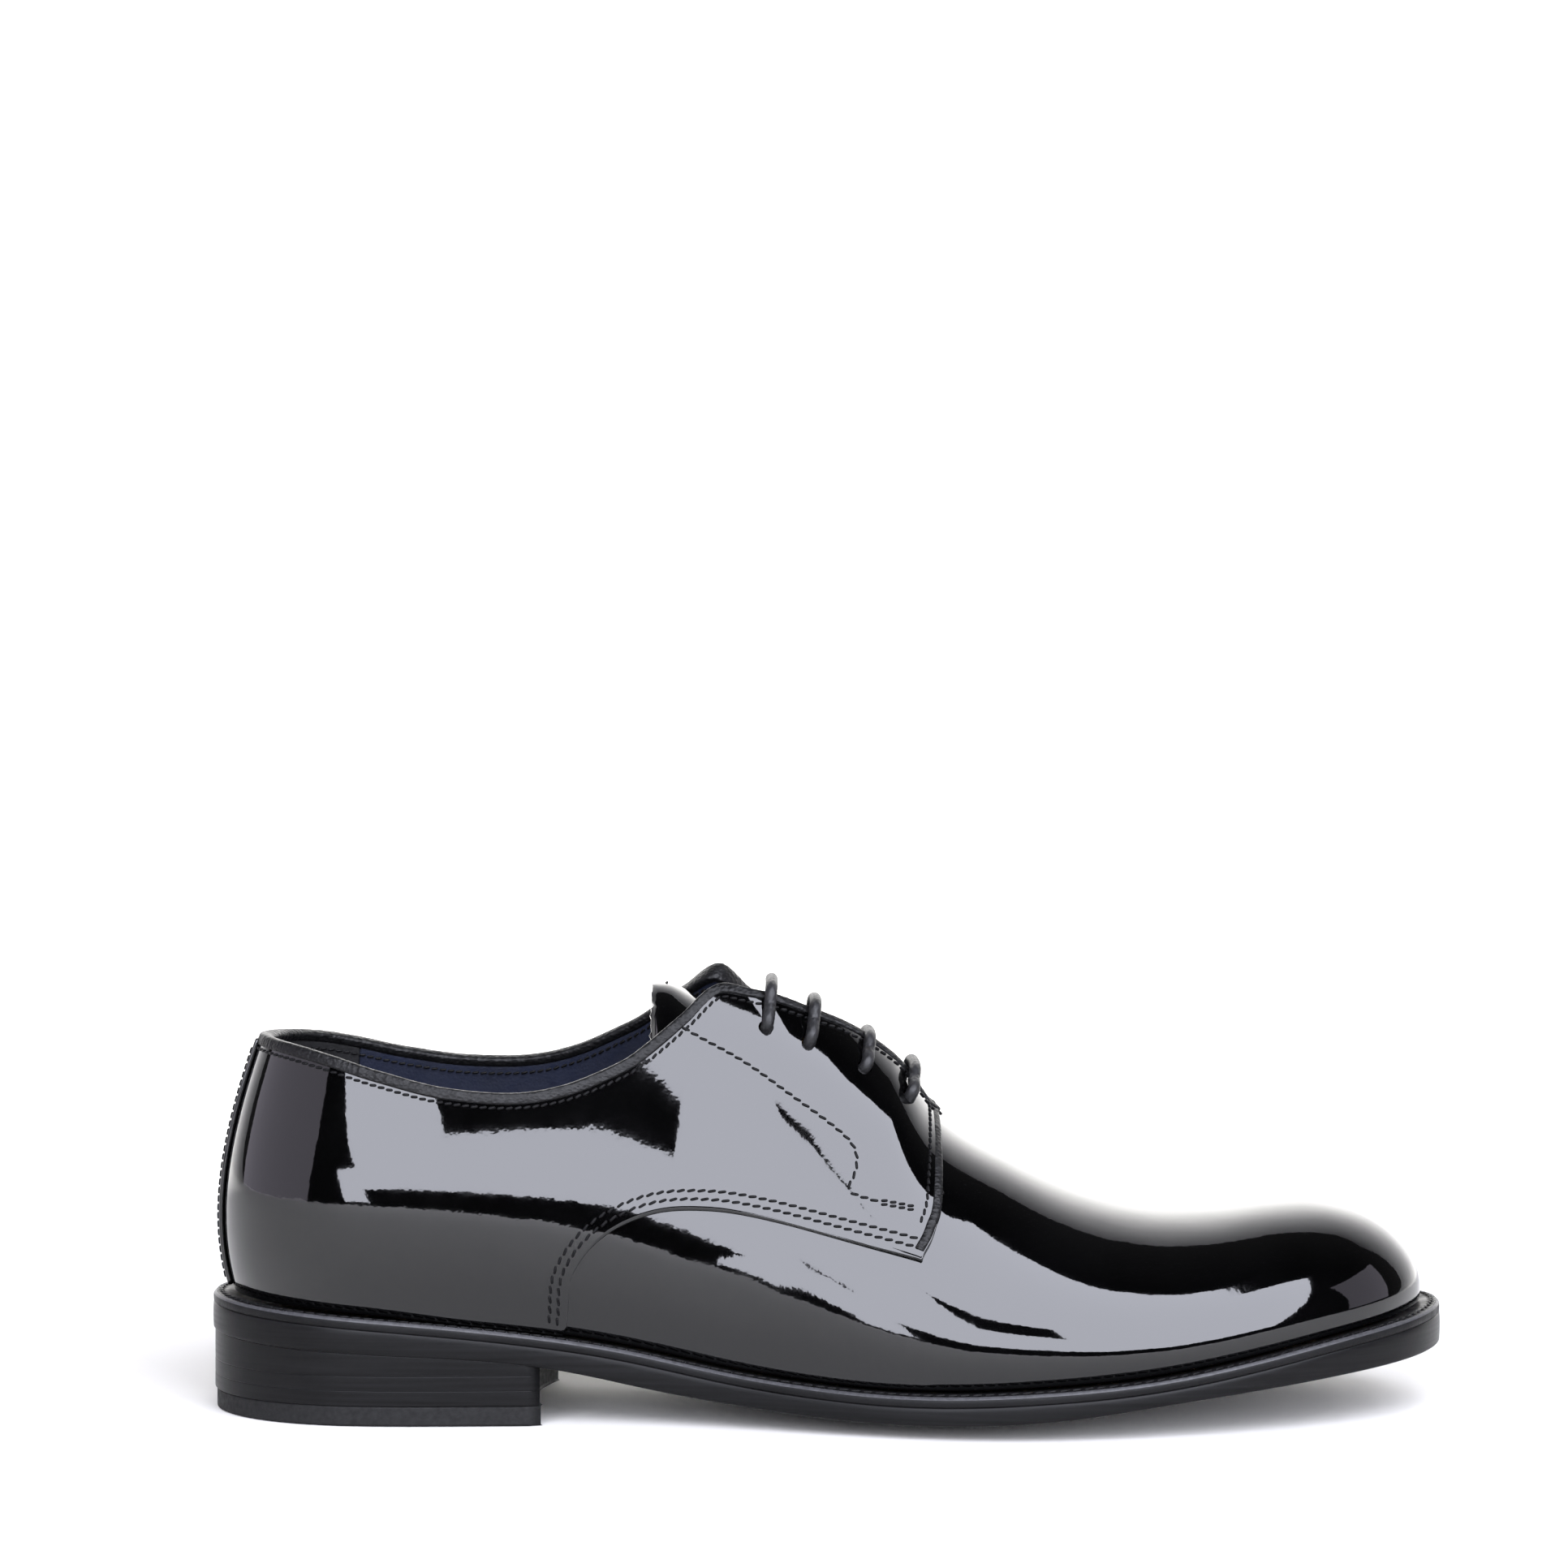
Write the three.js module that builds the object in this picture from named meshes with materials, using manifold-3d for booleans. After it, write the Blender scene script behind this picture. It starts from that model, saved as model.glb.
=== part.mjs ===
// A right-foot derby dress shoe: welted leather sole, stacked heel, lapped quarters and straight bar lacing.
// Millimetres. +X points to the toe, +Y to the medial (inner) side, +Z up; the origin is on the ground under the
// middle of the shoe's outer box.
import * as THREE from "three";
import { mergeVertices } from "three/addons/utils/BufferGeometryUtils.js";
import Module from "manifold-3d";

const wasm = await Module();
wasm.setup();

// ---- driving dimensions ----
const SHOE_LENGTH = 305;
const UPPER_INSET = 5; // from the welt's edge in to the upper
const GAP = 0.3; // between pieces that touch
const LAYER_GAP = 0.65; // between curved leather layers
const FOOT_GAP = 0.85; // between the welt and the upper
const LEATHER = 1.3; // quarters, vamp, backstay
const LINING = 1;
const WELT_THICKNESS = 2.6;
const WELT_WIDTH = 13;
const INSOLE_THICKNESS = 2.8;
const SOCK_THICKNESS = 1;
const RIB_WIDTH = 2.5;
const STIFFENER = 1.2; // toe puff and heel counter
const STAY = 0.4; // reinforcement under the eyelet rows
const BINDING_HEIGHT = 3;
const LACE_DIAMETER = 3.1;
const HOLE_RADIUS = 2.1; // in the facing leather
const EYELET_FLANGE_RADIUS = 2.9;
const HEEL_BREAST_X = -68;
const HEEL_BREAST_HOLLOW = 5; // depth of the concave heel breast
const TOP_PIECE_THICKNESS = 5;
const LIFT_THICKNESS = 3.2;
const NAIL_RADIUS = 1.1;

// ---- lengthwise profiles: [x, value] ----
const WELT_TOP = [
  [-152.5, 28.6], [-134, 27.3], [-109, 25.5], [-70, 21.6], [-51, 18.7], [-24, 13.7], [-5, 11.5],
  [14, 10.5], [49, 11.7], [75, 13.9], [102, 18.1], [126, 22.2], [152.5, 25.4],
];
const SOLE_EDGE_BOTTOM = [
  [-152.5, 19.4], [-110, 17.1], [-70, 14.2], [-59, 12.3], [-45, 9.4], [-24, 6.2], [-5, 4.3], [14, 3.5],
  [32, 3.7], [58, 5.6], [75, 7.8], [112, 11.8], [137, 14.1], [152.5, 15.3],
];
const SOLE_CROWN = [
  [-152.5, 0], [-110, 0], [-66, 0], [-50, 1], [-20, 3.2], [14, 4.6], [40, 4.8], [75, 2.8], [120, 1], [152.5, 0.6],
];
const RIDGE_TOP = [
  [-112, 133], [-90, 131.5], [-70, 128], [-50, 121.5], [-35, 115.5], [-21, 109.3], [-5, 98.4], [10, 86.2],
  [20, 77.8], [30, 69.3], [44, 61.4], [53, 57.1], [62, 53.5], [71.5, 50.9], [81, 49.4], [90, 49.1],
  [99, 49.5], [108, 50.3], [114, 50.6],
];
const RIDGE_Y = [[-112, 1], [-70, 1], [-30, 1.5], [10, 2], [60, 4], [90, 5], [114, 5.8]];
const CENTRE_Y = [[-152.5, 1], [-70, -1], [0, -1.5], [60, 0.5], [110, 4], [152.5, 7]];
// welt outline, half-way points: [x, y]; the ends are round
const LATERAL_OUTLINE = [
  [-119.5, -32.6], [-100, -34], [-70, -33.4], [-45, -34], [-20, -39], [10, -47.8], [35, -52.8], [55, -53.4],
  [80, -50.2], [105, -43], [125, -33.5], [140, -22],
];
const MEDIAL_OUTLINE = [
  [-119.5, 33.6], [-100, 34], [-70, 31], [-45, 27.2], [-20, 26.6], [10, 33.5], [35, 44.5], [60, 52.4],
  [75, 53.4], [95, 51.3], [115, 44.8], [130, 36.5], [140, 28.8],
];
const HEEL_END_RADIUS = 33;
const TOE_END_RADIUS = 31;
// roundness of the upper's cross-section (2 is an ellipse) and how far its wall swells
const FULLNESS = [[-152.5, 1.9], [-110, 2.2], [-60, 2.2], [0, 2], [60, 2.05], [110, 2.15], [152.5, 2.2]];
const SWELL = [[-152.5, 3.2], [-120, 4.5], [-80, 4.5], [-40, 2.5], [0, 1.5], [60, 1.5], [110, 0.8], [152.5, 0.4]];
// above the narrow waist of the sole the medial wall overhangs: [x, share of the half-width gained]
const OVERHANG = [[-112, 0.02], [-80, 0.14], [-50, 0.42], [-20, 0.58], [0, 0.46], [20, 0.22], [45, 0.04], [62, 0]];
const SPINE_REAR = -112;
const SPINE_FRONT = 114;
const SPINE_SOFTNESS = 7;

// ---- curves and the upper's surface ----

// A natural cubic spline through [x, value] points.
function splineThrough(points) {
  const last = points.length - 1;
  const bend = new Array(last + 1).fill(0);
  const scale = new Array(last + 1).fill(0);
  for (let i = 1; i < last; i++) {
    const [x0, y0] = points[i - 1];
    const [x1, y1] = points[i];
    const [x2, y2] = points[i + 1];
    const share = (x1 - x0) / (x2 - x0);
    const pivot = share * scale[i - 1] + 2;
    scale[i] = (share - 1) / pivot;
    const slopeChange = (y2 - y1) / (x2 - x1) - (y1 - y0) / (x1 - x0);
    bend[i] = ((6 * slopeChange) / (x2 - x0) - share * bend[i - 1]) / pivot;
  }
  for (let i = last - 1; i > 0; i--) bend[i] += scale[i] * bend[i + 1];
  return (x) => {
    let i = 1;
    while (i < last && x > points[i][0]) i++;
    const [x0, y0] = points[i - 1];
    const [x1, y1] = points[i];
    const span = x1 - x0;
    const a = (x1 - x) / span;
    const b = (x - x0) / span;
    const curl = ((a ** 3 - a) * bend[i - 1] + (b ** 3 - b) * bend[i]) * (span ** 2 / 6);
    return a * y0 + b * y1 + curl;
  };
}

const clamp = (x, low, high) => Math.min(high, Math.max(low, x));

function smoothStep(low, high, x) {
  const t = clamp((x - low) / (high - low), 0, 1);
  return t * t * (3 - 2 * t);
}

const weltTop = splineThrough(WELT_TOP);
const soleEdgeBottom = splineThrough(SOLE_EDGE_BOTTOM);
const soleCrown = splineThrough(SOLE_CROWN);
const ridgeTop = splineThrough(RIDGE_TOP);
const ridgeY = splineThrough(RIDGE_Y);
const centreY = splineThrough(CENTRE_Y);
const fullness = splineThrough(FULLNESS);
const swell = splineThrough(SWELL);
const overhangCurve = splineThrough(OVERHANG);
const overhang = (x) => overhangCurve(x) * smoothStep(-130, -105, x) * smoothStep(62, 45, x);

// Turn runs from -PI (toe) along the lateral side through 0 (heel back) and along the medial side to PI (toe).
function widthSpline(outline) {
  const half = SHOE_LENGTH / 2;
  const points = outline.map(([x, y]) => {
    const turn = Math.acos(-x / half);
    return [turn, Math.abs(y - centreY(x)) / Math.sin(turn)];
  });
  points.unshift([0, Math.sqrt(HEEL_END_RADIUS * half)]);
  points.push([Math.PI, Math.sqrt(TOE_END_RADIUS * half)]);
  return splineThrough(points);
}
const lateralWidth = widthSpline(LATERAL_OUTLINE);
const medialWidth = widthSpline(MEDIAL_OUTLINE);

// A point of the plan outline, moved inwards by inset.
function outlineAt(turn, inset) {
  const x = -(SHOE_LENGTH / 2 - inset) * Math.cos(turn);
  const width = turn < 0 ? lateralWidth(-turn) : medialWidth(turn);
  return [x, centreY(x) + Math.sin(turn) * (width - inset)];
}

const softPlus = (x) => SPINE_SOFTNESS * Math.log1p(Math.exp(x / SPINE_SOFTNESS));

function spineX(turn) {
  const x = -(SHOE_LENGTH / 2 - UPPER_INSET) * Math.cos(turn);
  const front = SPINE_FRONT - softPlus(SPINE_FRONT - x);
  return SPINE_REAR + softPlus(front - SPINE_REAR);
}

function wrapTurn(turn) {
  if (turn > Math.PI) return turn - 2 * Math.PI;
  if (turn < -Math.PI) return turn + 2 * Math.PI;
  return turn;
}

const SWELL_TOP = 0.75; // share of the height up to which the wall swells
const OVERHANG_FULL = 0.42; // share of the height where the medial overhang is complete

// The upper's surface. Rise runs from 0 at the welt to 1 on the ridge.
function upperPoint(turnAny, rise) {
  const turn = wrapTurn(turnAny);
  const [footX, footY] = outlineAt(turn, UPPER_INSET);
  const footZ = weltTop(footX) + FOOT_GAP;
  const topX = spineX(turn);
  const roundness = 2 / fullness(footX);
  const inward = 1 - Math.cos((rise * Math.PI) / 2) ** roundness;
  const upward = Math.sin((rise * Math.PI) / 2) ** roundness;
  const acrossX = topX - footX;
  const acrossY = ridgeY(topX) - footY;
  const across = Math.hypot(acrossX, acrossY);
  const t = clamp(upward / SWELL_TOP, 0, 1);
  const out = (swell(footX) * 6.75 * t * (1 - t) ** 2) / across;
  const widened = turn > 0 ? overhang(footX) * smoothStep(0, OVERHANG_FULL, upward) * (1 - inward) : 0;
  return new THREE.Vector3(
    footX + (inward - out - widened) * acrossX,
    footY + (inward - out - widened) * acrossY,
    footZ + upward * (ridgeTop(topX) - footZ),
  );
}

function upperNormal(turn, riseAny) {
  const rise = clamp(riseAny, 0.02, 1);
  if (rise > 0.999) {
    const x = spineX(turn);
    const slope = (ridgeTop(x + 0.5) - ridgeTop(x - 0.5)) / 1;
    return new THREE.Vector3(-slope, 0, 1).normalize();
  }
  const step = 0.004;
  const along = upperPoint(turn + step, rise).sub(upperPoint(turn - step, rise));
  const up = upperPoint(turn, Math.min(1, rise + step)).sub(upperPoint(turn, rise - step));
  return up.cross(along).normalize();
}

function layerPoint(turn, rise, offset) {
  return upperPoint(turn, rise).addScaledVector(upperNormal(turn, rise), offset);
}

const LATERAL = -1;
const MEDIAL = 1;

// Finds [turn, rise] of the surface point with this x and this height (or this y).
function locate(side, x, { z, y }) {
  const miss = (turn, rise) => {
    const p = upperPoint(turn, rise);
    return [p.x - x, z === undefined ? p.y - y : p.z - z];
  };
  let turn = side * Math.acos(clamp(-x / (SHOE_LENGTH / 2 - UPPER_INSET), -0.999, 0.999));
  let rise = z === undefined ? 0.8 : 0.5;
  for (let i = 0; i < 40; i++) {
    const step = 1e-4;
    const [fx, fz] = miss(turn, rise);
    const [ax, az] = miss(turn + step, rise);
    const [bx, bz] = miss(turn, rise + step);
    const xt = (ax - fx) / step;
    const zt = (az - fz) / step;
    const xr = (bx - fx) / step;
    const zr = (bz - fz) / step;
    const det = xt * zr - xr * zt;
    turn += clamp((-fx * zr + fz * xr) / det, -0.1, 0.1);
    rise = clamp(rise + clamp((-xt * fz + zt * fx) / det, -0.1, 0.1), 0.001, 0.998);
  }
  return [turn, rise];
}

const foot = (side, x) => [side * Math.acos(-x / (SHOE_LENGTH / 2 - UPPER_INSET)), 0];
const ridge = (side, x) => [foot(side, x)[0], 1];

// Moves a place down the surface, away from the ridge, by a distance.
function lowered([turn, rise], distance) {
  const step = 0.01;
  const speed = upperPoint(turn, rise).distanceTo(upperPoint(turn, rise - step)) / step;
  return [turn, rise - distance / speed];
}

// ---- solids ----

const round = (v) => Math.round(v * 1e4) / 1e4;

// Joins an indexed face list into one welded geometry without needle faces.
function weldedGeometry(points, faces) {
  const places = new Map();
  const kept = [];
  const index = points.map((p) => {
    const key = [p.x, p.y, p.z].map((v) => Math.round(v * 500)).join();
    if (!places.has(key)) {
      places.set(key, kept.length / 3);
      kept.push(round(p.x), round(p.y), round(p.z));
    }
    return places.get(key);
  });
  const triangles = [];
  for (const face of faces) {
    const [a, b, c] = face.map((i) => index[i]);
    if (a !== b && b !== c && a !== c) triangles.push(a, b, c);
  }
  const geometry = new THREE.BufferGeometry();
  geometry.setAttribute("position", new THREE.Float32BufferAttribute(kept, 3));
  geometry.setIndex(triangles);
  return geometry;
}

// A patch is a list of places and a list of triangles between them.
function gridPatch(columns, rows, placeAt) {
  const places = [];
  const faces = [];
  for (let i = 0; i <= columns; i++) {
    for (let j = 0; j <= rows; j++) places.push(placeAt(i / columns, j / rows));
  }
  for (let i = 0; i < columns; i++) {
    for (let j = 0; j < rows; j++) {
      const a = i * (rows + 1) + j;
      const b = a + rows + 1;
      faces.push([a, b, b + 1], [a, b + 1, a + 1]);
    }
  }
  return { places, faces };
}

function joinedPatch(...patches) {
  const places = [];
  const faces = [];
  for (const patch of patches) {
    const start = places.length;
    places.push(...patch.places);
    faces.push(...patch.faces.map((face) => face.map((i) => i + start)));
  }
  return { places, faces };
}

function turnedOver(patch) {
  return { places: patch.places, faces: patch.faces.map(([a, b, c]) => [a, c, b]) };
}

// A closed body between two surfaces over one patch.
function bodyBetween(patch, outerAt, innerAt) {
  const outer = patch.places.map(outerAt);
  const inner = patch.places.map(innerAt);
  const welded = new Map();
  const same = outer.map((p, i) => {
    const key = [p.x, p.y, p.z].map((v) => Math.round(v * 500)).join();
    if (!welded.has(key)) welded.set(key, i);
    return welded.get(key);
  });
  const faces = patch.faces
    .map((face) => face.map((i) => same[i]))
    .filter(([a, b, c]) => a !== b && b !== c && a !== c);
  const edges = new Set(faces.flatMap(([a, b, c]) => [`${a},${b}`, `${b},${c}`, `${c},${a}`]));
  const count = outer.length;
  const all = [];
  for (const [a, b, c] of faces) {
    all.push([a, b, c], [a + count, c + count, b + count]);
  }
  for (const edge of edges) {
    const [a, b] = edge.split(",").map(Number);
    if (!edges.has(`${b},${a}`)) all.push([b, a, a + count], [b, a + count, b + count]);
  }
  return facingOut(weldedGeometry([...outer, ...inner], all));
}

function signedVolume(geometry) {
  const p = geometry.attributes.position;
  const index = geometry.index;
  const [a, b, c] = [new THREE.Vector3(), new THREE.Vector3(), new THREE.Vector3()];
  let sum = 0;
  for (let i = 0; i < index.count; i += 3) {
    a.fromBufferAttribute(p, index.getX(i));
    b.fromBufferAttribute(p, index.getX(i + 1));
    c.fromBufferAttribute(p, index.getX(i + 2));
    sum += a.dot(b.cross(c)) / 6;
  }
  return sum;
}

function facingOut(geometry) {
  if (signedVolume(geometry) > 0) return geometry;
  const index = geometry.index.array;
  for (let i = 0; i < index.length; i += 3) [index[i + 1], index[i + 2]] = [index[i + 2], index[i + 1]];
  return geometry;
}

function toSolid(geometry) {
  const bare = new THREE.BufferGeometry();
  bare.setAttribute("position", geometry.attributes.position);
  if (geometry.index) bare.setIndex(geometry.index);
  const merged = mergeVertices(bare, 1e-3);
  return new wasm.Manifold(
    new wasm.Mesh({
      numProp: 3,
      vertProperties: new Float32Array(merged.attributes.position.array),
      triVerts: new Uint32Array(merged.index.array),
    }),
  );
}

function toGeometry(solid) {
  const mesh = solid.getMesh();
  const geometry = new THREE.BufferGeometry();
  geometry.setAttribute("position", new THREE.Float32BufferAttribute(mesh.vertProperties, 3));
  geometry.setIndex(new THREE.Uint32BufferAttribute(mesh.triVerts, 1));
  return geometry;
}

function cutAway(geometry, tools) {
  let solid = toSolid(geometry);
  for (const tool of tools) solid = solid.subtract(toSolid(tool));
  return toGeometry(solid);
}

// A cylinder from one point along a direction.
function pegGeometry(start, direction, radius, length, sides) {
  const geometry = new THREE.CylinderGeometry(radius, radius, length, sides);
  geometry.translate(0, length / 2, 0);
  const turn = new THREE.Quaternion().setFromUnitVectors(new THREE.Vector3(0, 1, 0), direction);
  return geometry.applyQuaternion(turn).translate(start.x, start.y, start.z);
}

const shoe = new THREE.Group();

function addPiece(name, geometry, { color, roughness, metalness = 0 }) {
  const mesh = new THREE.Mesh(geometry, new THREE.MeshStandardMaterial({ color, roughness, metalness }));
  mesh.name = name;
  shoe.add(mesh);
}

const PATENT = { color: 0x08080a, roughness: 0.08 };
const BINDING = { color: 0x0c0c0d, roughness: 0.45 };
const NAVY = { color: 0x141f4a, roughness: 0.6 };
const BLACK_LINING = { color: 0x101012, roughness: 0.6 };
const STIFF_BOARD = { color: 0x8a7656, roughness: 0.9 };
const TAN_LEATHER = { color: 0xb08a5a, roughness: 0.7 };
const BLACK_SOLE = { color: 0x121214, roughness: 0.4 };
const RUBBER = { color: 0x0d0d0e, roughness: 0.7 };
const CORK = { color: 0x9a7448, roughness: 0.95 };
const STEEL = { color: 0xa5a8ac, roughness: 0.35, metalness: 1 };
const BRASS = { color: 0xb08d4a, roughness: 0.35, metalness: 1 };
const LACE_CORD = { color: 0x1b1b20, roughness: 0.7 };

// ---- the bottom ----

// A patch over a whole plan outline. Places are [x, y, share of the way in from the edge].
function platePatch(inset, columns, rows) {
  const sideGrid = (side) =>
    gridPatch(columns, rows, (s, t) => {
      const [x, edgeY] = outlineAt(side * s * Math.PI, inset);
      return [x, edgeY + (centreY(x) - edgeY) * t, t];
    });
  return joinedPatch(turnedOver(sideGrid(LATERAL)), sideGrid(MEDIAL));
}

function plate(patch, topAt, bottomAt) {
  return bodyBetween(
    patch,
    ([x, y, t]) => new THREE.Vector3(x, y, topAt(x, t)),
    ([x, y, t]) => new THREE.Vector3(x, y, bottomAt(x, t)),
  );
}

// A band that follows the outline between two insets, all the way round or between two turns.
function ringPatch(outerInset, innerInset, columns, fromTurn = -Math.PI, toTurn = Math.PI) {
  return gridPatch(columns, 1, (s, t) => {
    const turn = fromTurn + (toTurn - fromTurn) * s;
    return [...outlineAt(turn, outerInset + (innerInset - outerInset) * t), t];
  });
}

const weltUnder = (x) => weltTop(x) - WELT_THICKNESS;
const outsoleTop = (x) => weltUnder(x) - GAP;

function outsoleBottom(x, t) {
  const inFromEdge = 1 - (1 - t) ** 2;
  return Math.max(0, soleEdgeBottom(x) - soleCrown(x) * inFromEdge);
}

const NAIL_PLACES = [[-135, 1], [-116, -16], [-116, 18], [-90, -17], [-90, 18]];
const NAIL_TOP = 1.2; // above the outsole's upper face
const NAIL_LENGTH = 14;

function nailTool(x, y, extraRadius) {
  const top = outsoleTop(x) + NAIL_TOP;
  const bottom = new THREE.Vector3(x, y, top - NAIL_LENGTH - extraRadius);
  const up = new THREE.Vector3(0, 0, 1);
  return pegGeometry(bottom, up, NAIL_RADIUS + extraRadius, NAIL_LENGTH + 2 * extraRadius, 8);
}

const nailHoles = () => NAIL_PLACES.map(([x, y]) => nailTool(x, y, GAP));

function addSole() {
  const outsole = plate(platePatch(0, 28, 3), outsoleTop, outsoleBottom);
  addPiece("outsole", cutAway(outsole, nailHoles()), BLACK_SOLE);

  const welt = bodyBetween(
    ringPatch(0, WELT_WIDTH, 52),
    ([x, y]) => new THREE.Vector3(x, y, weltTop(x)),
    ([x, y]) => new THREE.Vector3(x, y, weltUnder(x)),
  );
  addPiece("welt", welt, BLACK_SOLE);

  // the rib stands inside the welt, from one side of the waist round the toe to the other
  const ribOuter = WELT_WIDTH + GAP;
  const ribStart = Math.acos(50 / (SHOE_LENGTH / 2));
  const ribSide = (side) =>
    gridPatch(16, 1, (s, t) => {
      const turn = side * (ribStart + (Math.PI - ribStart) * s);
      return [...outlineAt(turn, ribOuter + RIB_WIDTH * t), t];
    });
  const rib = bodyBetween(
    joinedPatch(turnedOver(ribSide(LATERAL)), ribSide(MEDIAL)),
    ([x, y]) => new THREE.Vector3(x, y, weltTop(x)),
    ([x, y]) => new THREE.Vector3(x, y, weltUnder(x)),
  );
  addPiece("insole_rib", rib, TAN_LEATHER);

  const shankX = [-92, 2];
  const shankHalfWidth = 6;
  const shankPatch = (grow) =>
    gridPatch(12, 1, (s, t) => {
      const x = shankX[0] - grow + (shankX[1] - shankX[0] + 2 * grow) * s;
      return [x, centreY(x) + (shankHalfWidth + grow) * (2 * t - 1), t];
    });
  const shankMiddle = (x) => weltTop(x) - WELT_THICKNESS / 2;
  const shankBody = (grow, half) =>
    plate(shankPatch(grow), (x) => shankMiddle(x) + half, (x) => shankMiddle(x) - half);
  addPiece("shank", shankBody(0, 0.8), STEEL);

  const cork = plate(platePatch(ribOuter + RIB_WIDTH + 1, 20, 1), weltTop, weltUnder);
  addPiece("cork_filler", cutAway(cork, [shankBody(GAP, 2), ...nailHoles()]), CORK);

  const insoleInset = UPPER_INSET + LEATHER + STIFFENER + LINING + 6.5 * LAYER_GAP;
  const insoleUnder = (x) => weltTop(x) + GAP;
  const insoleTop = (x) => insoleUnder(x) + INSOLE_THICKNESS;
  addPiece("insole_board", plate(platePatch(insoleInset, 20, 1), insoleTop, insoleUnder), TAN_LEATHER);
  const sockUnder = (x) => insoleTop(x) + GAP;
  const sock = plate(platePatch(insoleInset + 1, 20, 1), (x) => sockUnder(x) + SOCK_THICKNESS, sockUnder);
  addPiece("sock_liner", sock, NAVY);
}

// ---- the heel ----

// Places over the heel's outline, with its hollow front face. Inset shrinks the outline.
function heelPatch(inset, columns, rows) {
  const frontTurn = Math.acos(-HEEL_BREAST_X / (SHOE_LENGTH / 2));
  return gridPatch(columns, rows, (s, t) => {
    const turn = frontTurn * s;
    const [x, lateralY] = outlineAt(-turn, inset);
    const medialY = outlineAt(turn, inset)[1];
    const y = lateralY + (medialY - lateralY) * t;
    const hollow = HEEL_BREAST_HOLLOW * 4 * t * (1 - t) * s ** 3;
    return [x - hollow, y, t];
  });
}

function heelLayer(inset, topAt, bottomAt) {
  return plate(heelPatch(inset, 10, 4), topAt, bottomAt);
}

function addHeel() {
  addPiece("heel_top_piece", heelLayer(0.6, () => TOP_PIECE_THICKNESS, () => 0), RUBBER);
  let level = TOP_PIECE_THICKNESS + GAP;
  for (let i = 1; i <= 2; i++) {
    const top = level + LIFT_THICKNESS;
    const bottom = level;
    addPiece(`heel_lift_${i}`, cutAway(heelLayer(0.4, () => top, () => bottom), nailHoles()), BLACK_SOLE);
    level = top + GAP;
  }
  const seatBottom = level;
  const seatTop = (x) => Math.max(seatBottom + GAP, outsoleBottom(x, 1) - 1.5 * GAP);
  addPiece("heel_seat_wedge", cutAway(heelLayer(0.3, seatTop, () => seatBottom), nailHoles()), BLACK_SOLE);
  NAIL_PLACES.forEach(([x, y], i) => addPiece(`heel_nail_${i + 1}`, nailTool(x, y, 0), STEEL));
}

// ---- the upper ----

// Height of the quarter's outer face above the upper's surface: it rises to lie on the vamp, and again over
// the tongue along the facing.
const LAP_HEIGHT = LEATHER + 1.1;
const FACING_HEIGHT = 2.6;
const onVamp = (x) => smoothStep(-115, -82, x);
const onFacing = (x, rise) => smoothStep(-38, -14, x) * smoothStep(0.44, 0.62, rise);
const facingFront = (x) => 1 - smoothStep(14, 27, x);

function quarterOuter(turn, rise) {
  const x = upperPoint(turn, rise).x;
  return LAP_HEIGHT * onVamp(x) + FACING_HEIGHT * onFacing(x, rise) * facingFront(x);
}
const quarterInner = (turn, rise) => quarterOuter(turn, rise) - LEATHER;
const stayOuter = (turn, rise) => quarterInner(turn, rise) - LAYER_GAP;
const stayInner = (turn, rise) => stayOuter(turn, rise) - STAY;

const THROAT_EASE = 0.6; // extra room under the vamp where it is joined to the quarters

// The linings lie inside the vamp and stiffeners, and close up to the quarter along the facing.
const liningLow = (stiffened) => -LEATHER - LAYER_GAP - (STIFFENER + LAYER_GAP) * stiffened;

function liningOuter(turn, rise) {
  const p = upperPoint(turn, rise);
  const low = liningLow(smoothStep(-64, -74, p.x));
  const high = stayInner(turn, rise) - LAYER_GAP;
  return low + (high - low) * onFacing(p.x, rise);
}
const liningInner = (turn, rise) => liningOuter(turn, rise) - LINING;
function vampLiningOuter(turn, rise) {
  const { x } = upperPoint(turn, rise);
  return liningLow(smoothStep(72, 88, x)) - THROAT_EASE * smoothStep(34, 24, x);
}
const vampLiningInner = (turn, rise) => vampLiningOuter(turn, rise) - LINING;

// Columns of places between a low and a high line, given as matching pairs, smoothed between pairs.
function stationPatch(pairs, columnsPerPair, rows) {
  const column = (i, k, part) => pairs[clamp(i, 0, pairs.length - 1)][k][part];
  const between = (f, k, part) => {
    const i = Math.min(pairs.length - 2, Math.floor(f));
    const t = f - i;
    const [p0, p1, p2, p3] = [-1, 0, 1, 2].map((d) => column(i + d, k, part));
    const slopeA = (p2 - p0) / 2;
    const slopeB = (p3 - p1) / 2;
    const a = 2 * t ** 3 - 3 * t ** 2 + 1;
    const b = t ** 3 - 2 * t ** 2 + t;
    const c = -2 * t ** 3 + 3 * t ** 2;
    const d = t ** 3 - t ** 2;
    return a * p1 + b * slopeA + c * p2 + d * slopeB;
  };
  const columns = (pairs.length - 1) * columnsPerPair;
  return gridPatch(columns, rows, (s, t) => {
    const f = s * (pairs.length - 1);
    const low = [between(f, 0, 0), clamp(between(f, 0, 1), 0, 1)];
    const high = [between(f, 1, 0), clamp(between(f, 1, 1), 0, 1)];
    return [low[0] + (high[0] - low[0]) * t, low[1] + (high[1] - low[1]) * t];
  });
}

function shell(patch, outerAt, innerAt) {
  return bodyBetween(
    patch,
    ([turn, rise]) => layerPoint(turn, rise, outerAt(turn, rise)),
    ([turn, rise]) => layerPoint(turn, rise, innerAt(turn, rise)),
  );
}

// Half the gap between the two facings, along the lacing.
const facingHalfGap = (x) => 14.5 - (4 * (x + 20)) / 48;
const facingEdge = (side, x) => locate(side, x, { y: ridgeY(x) + side * facingHalfGap(x) });

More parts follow.
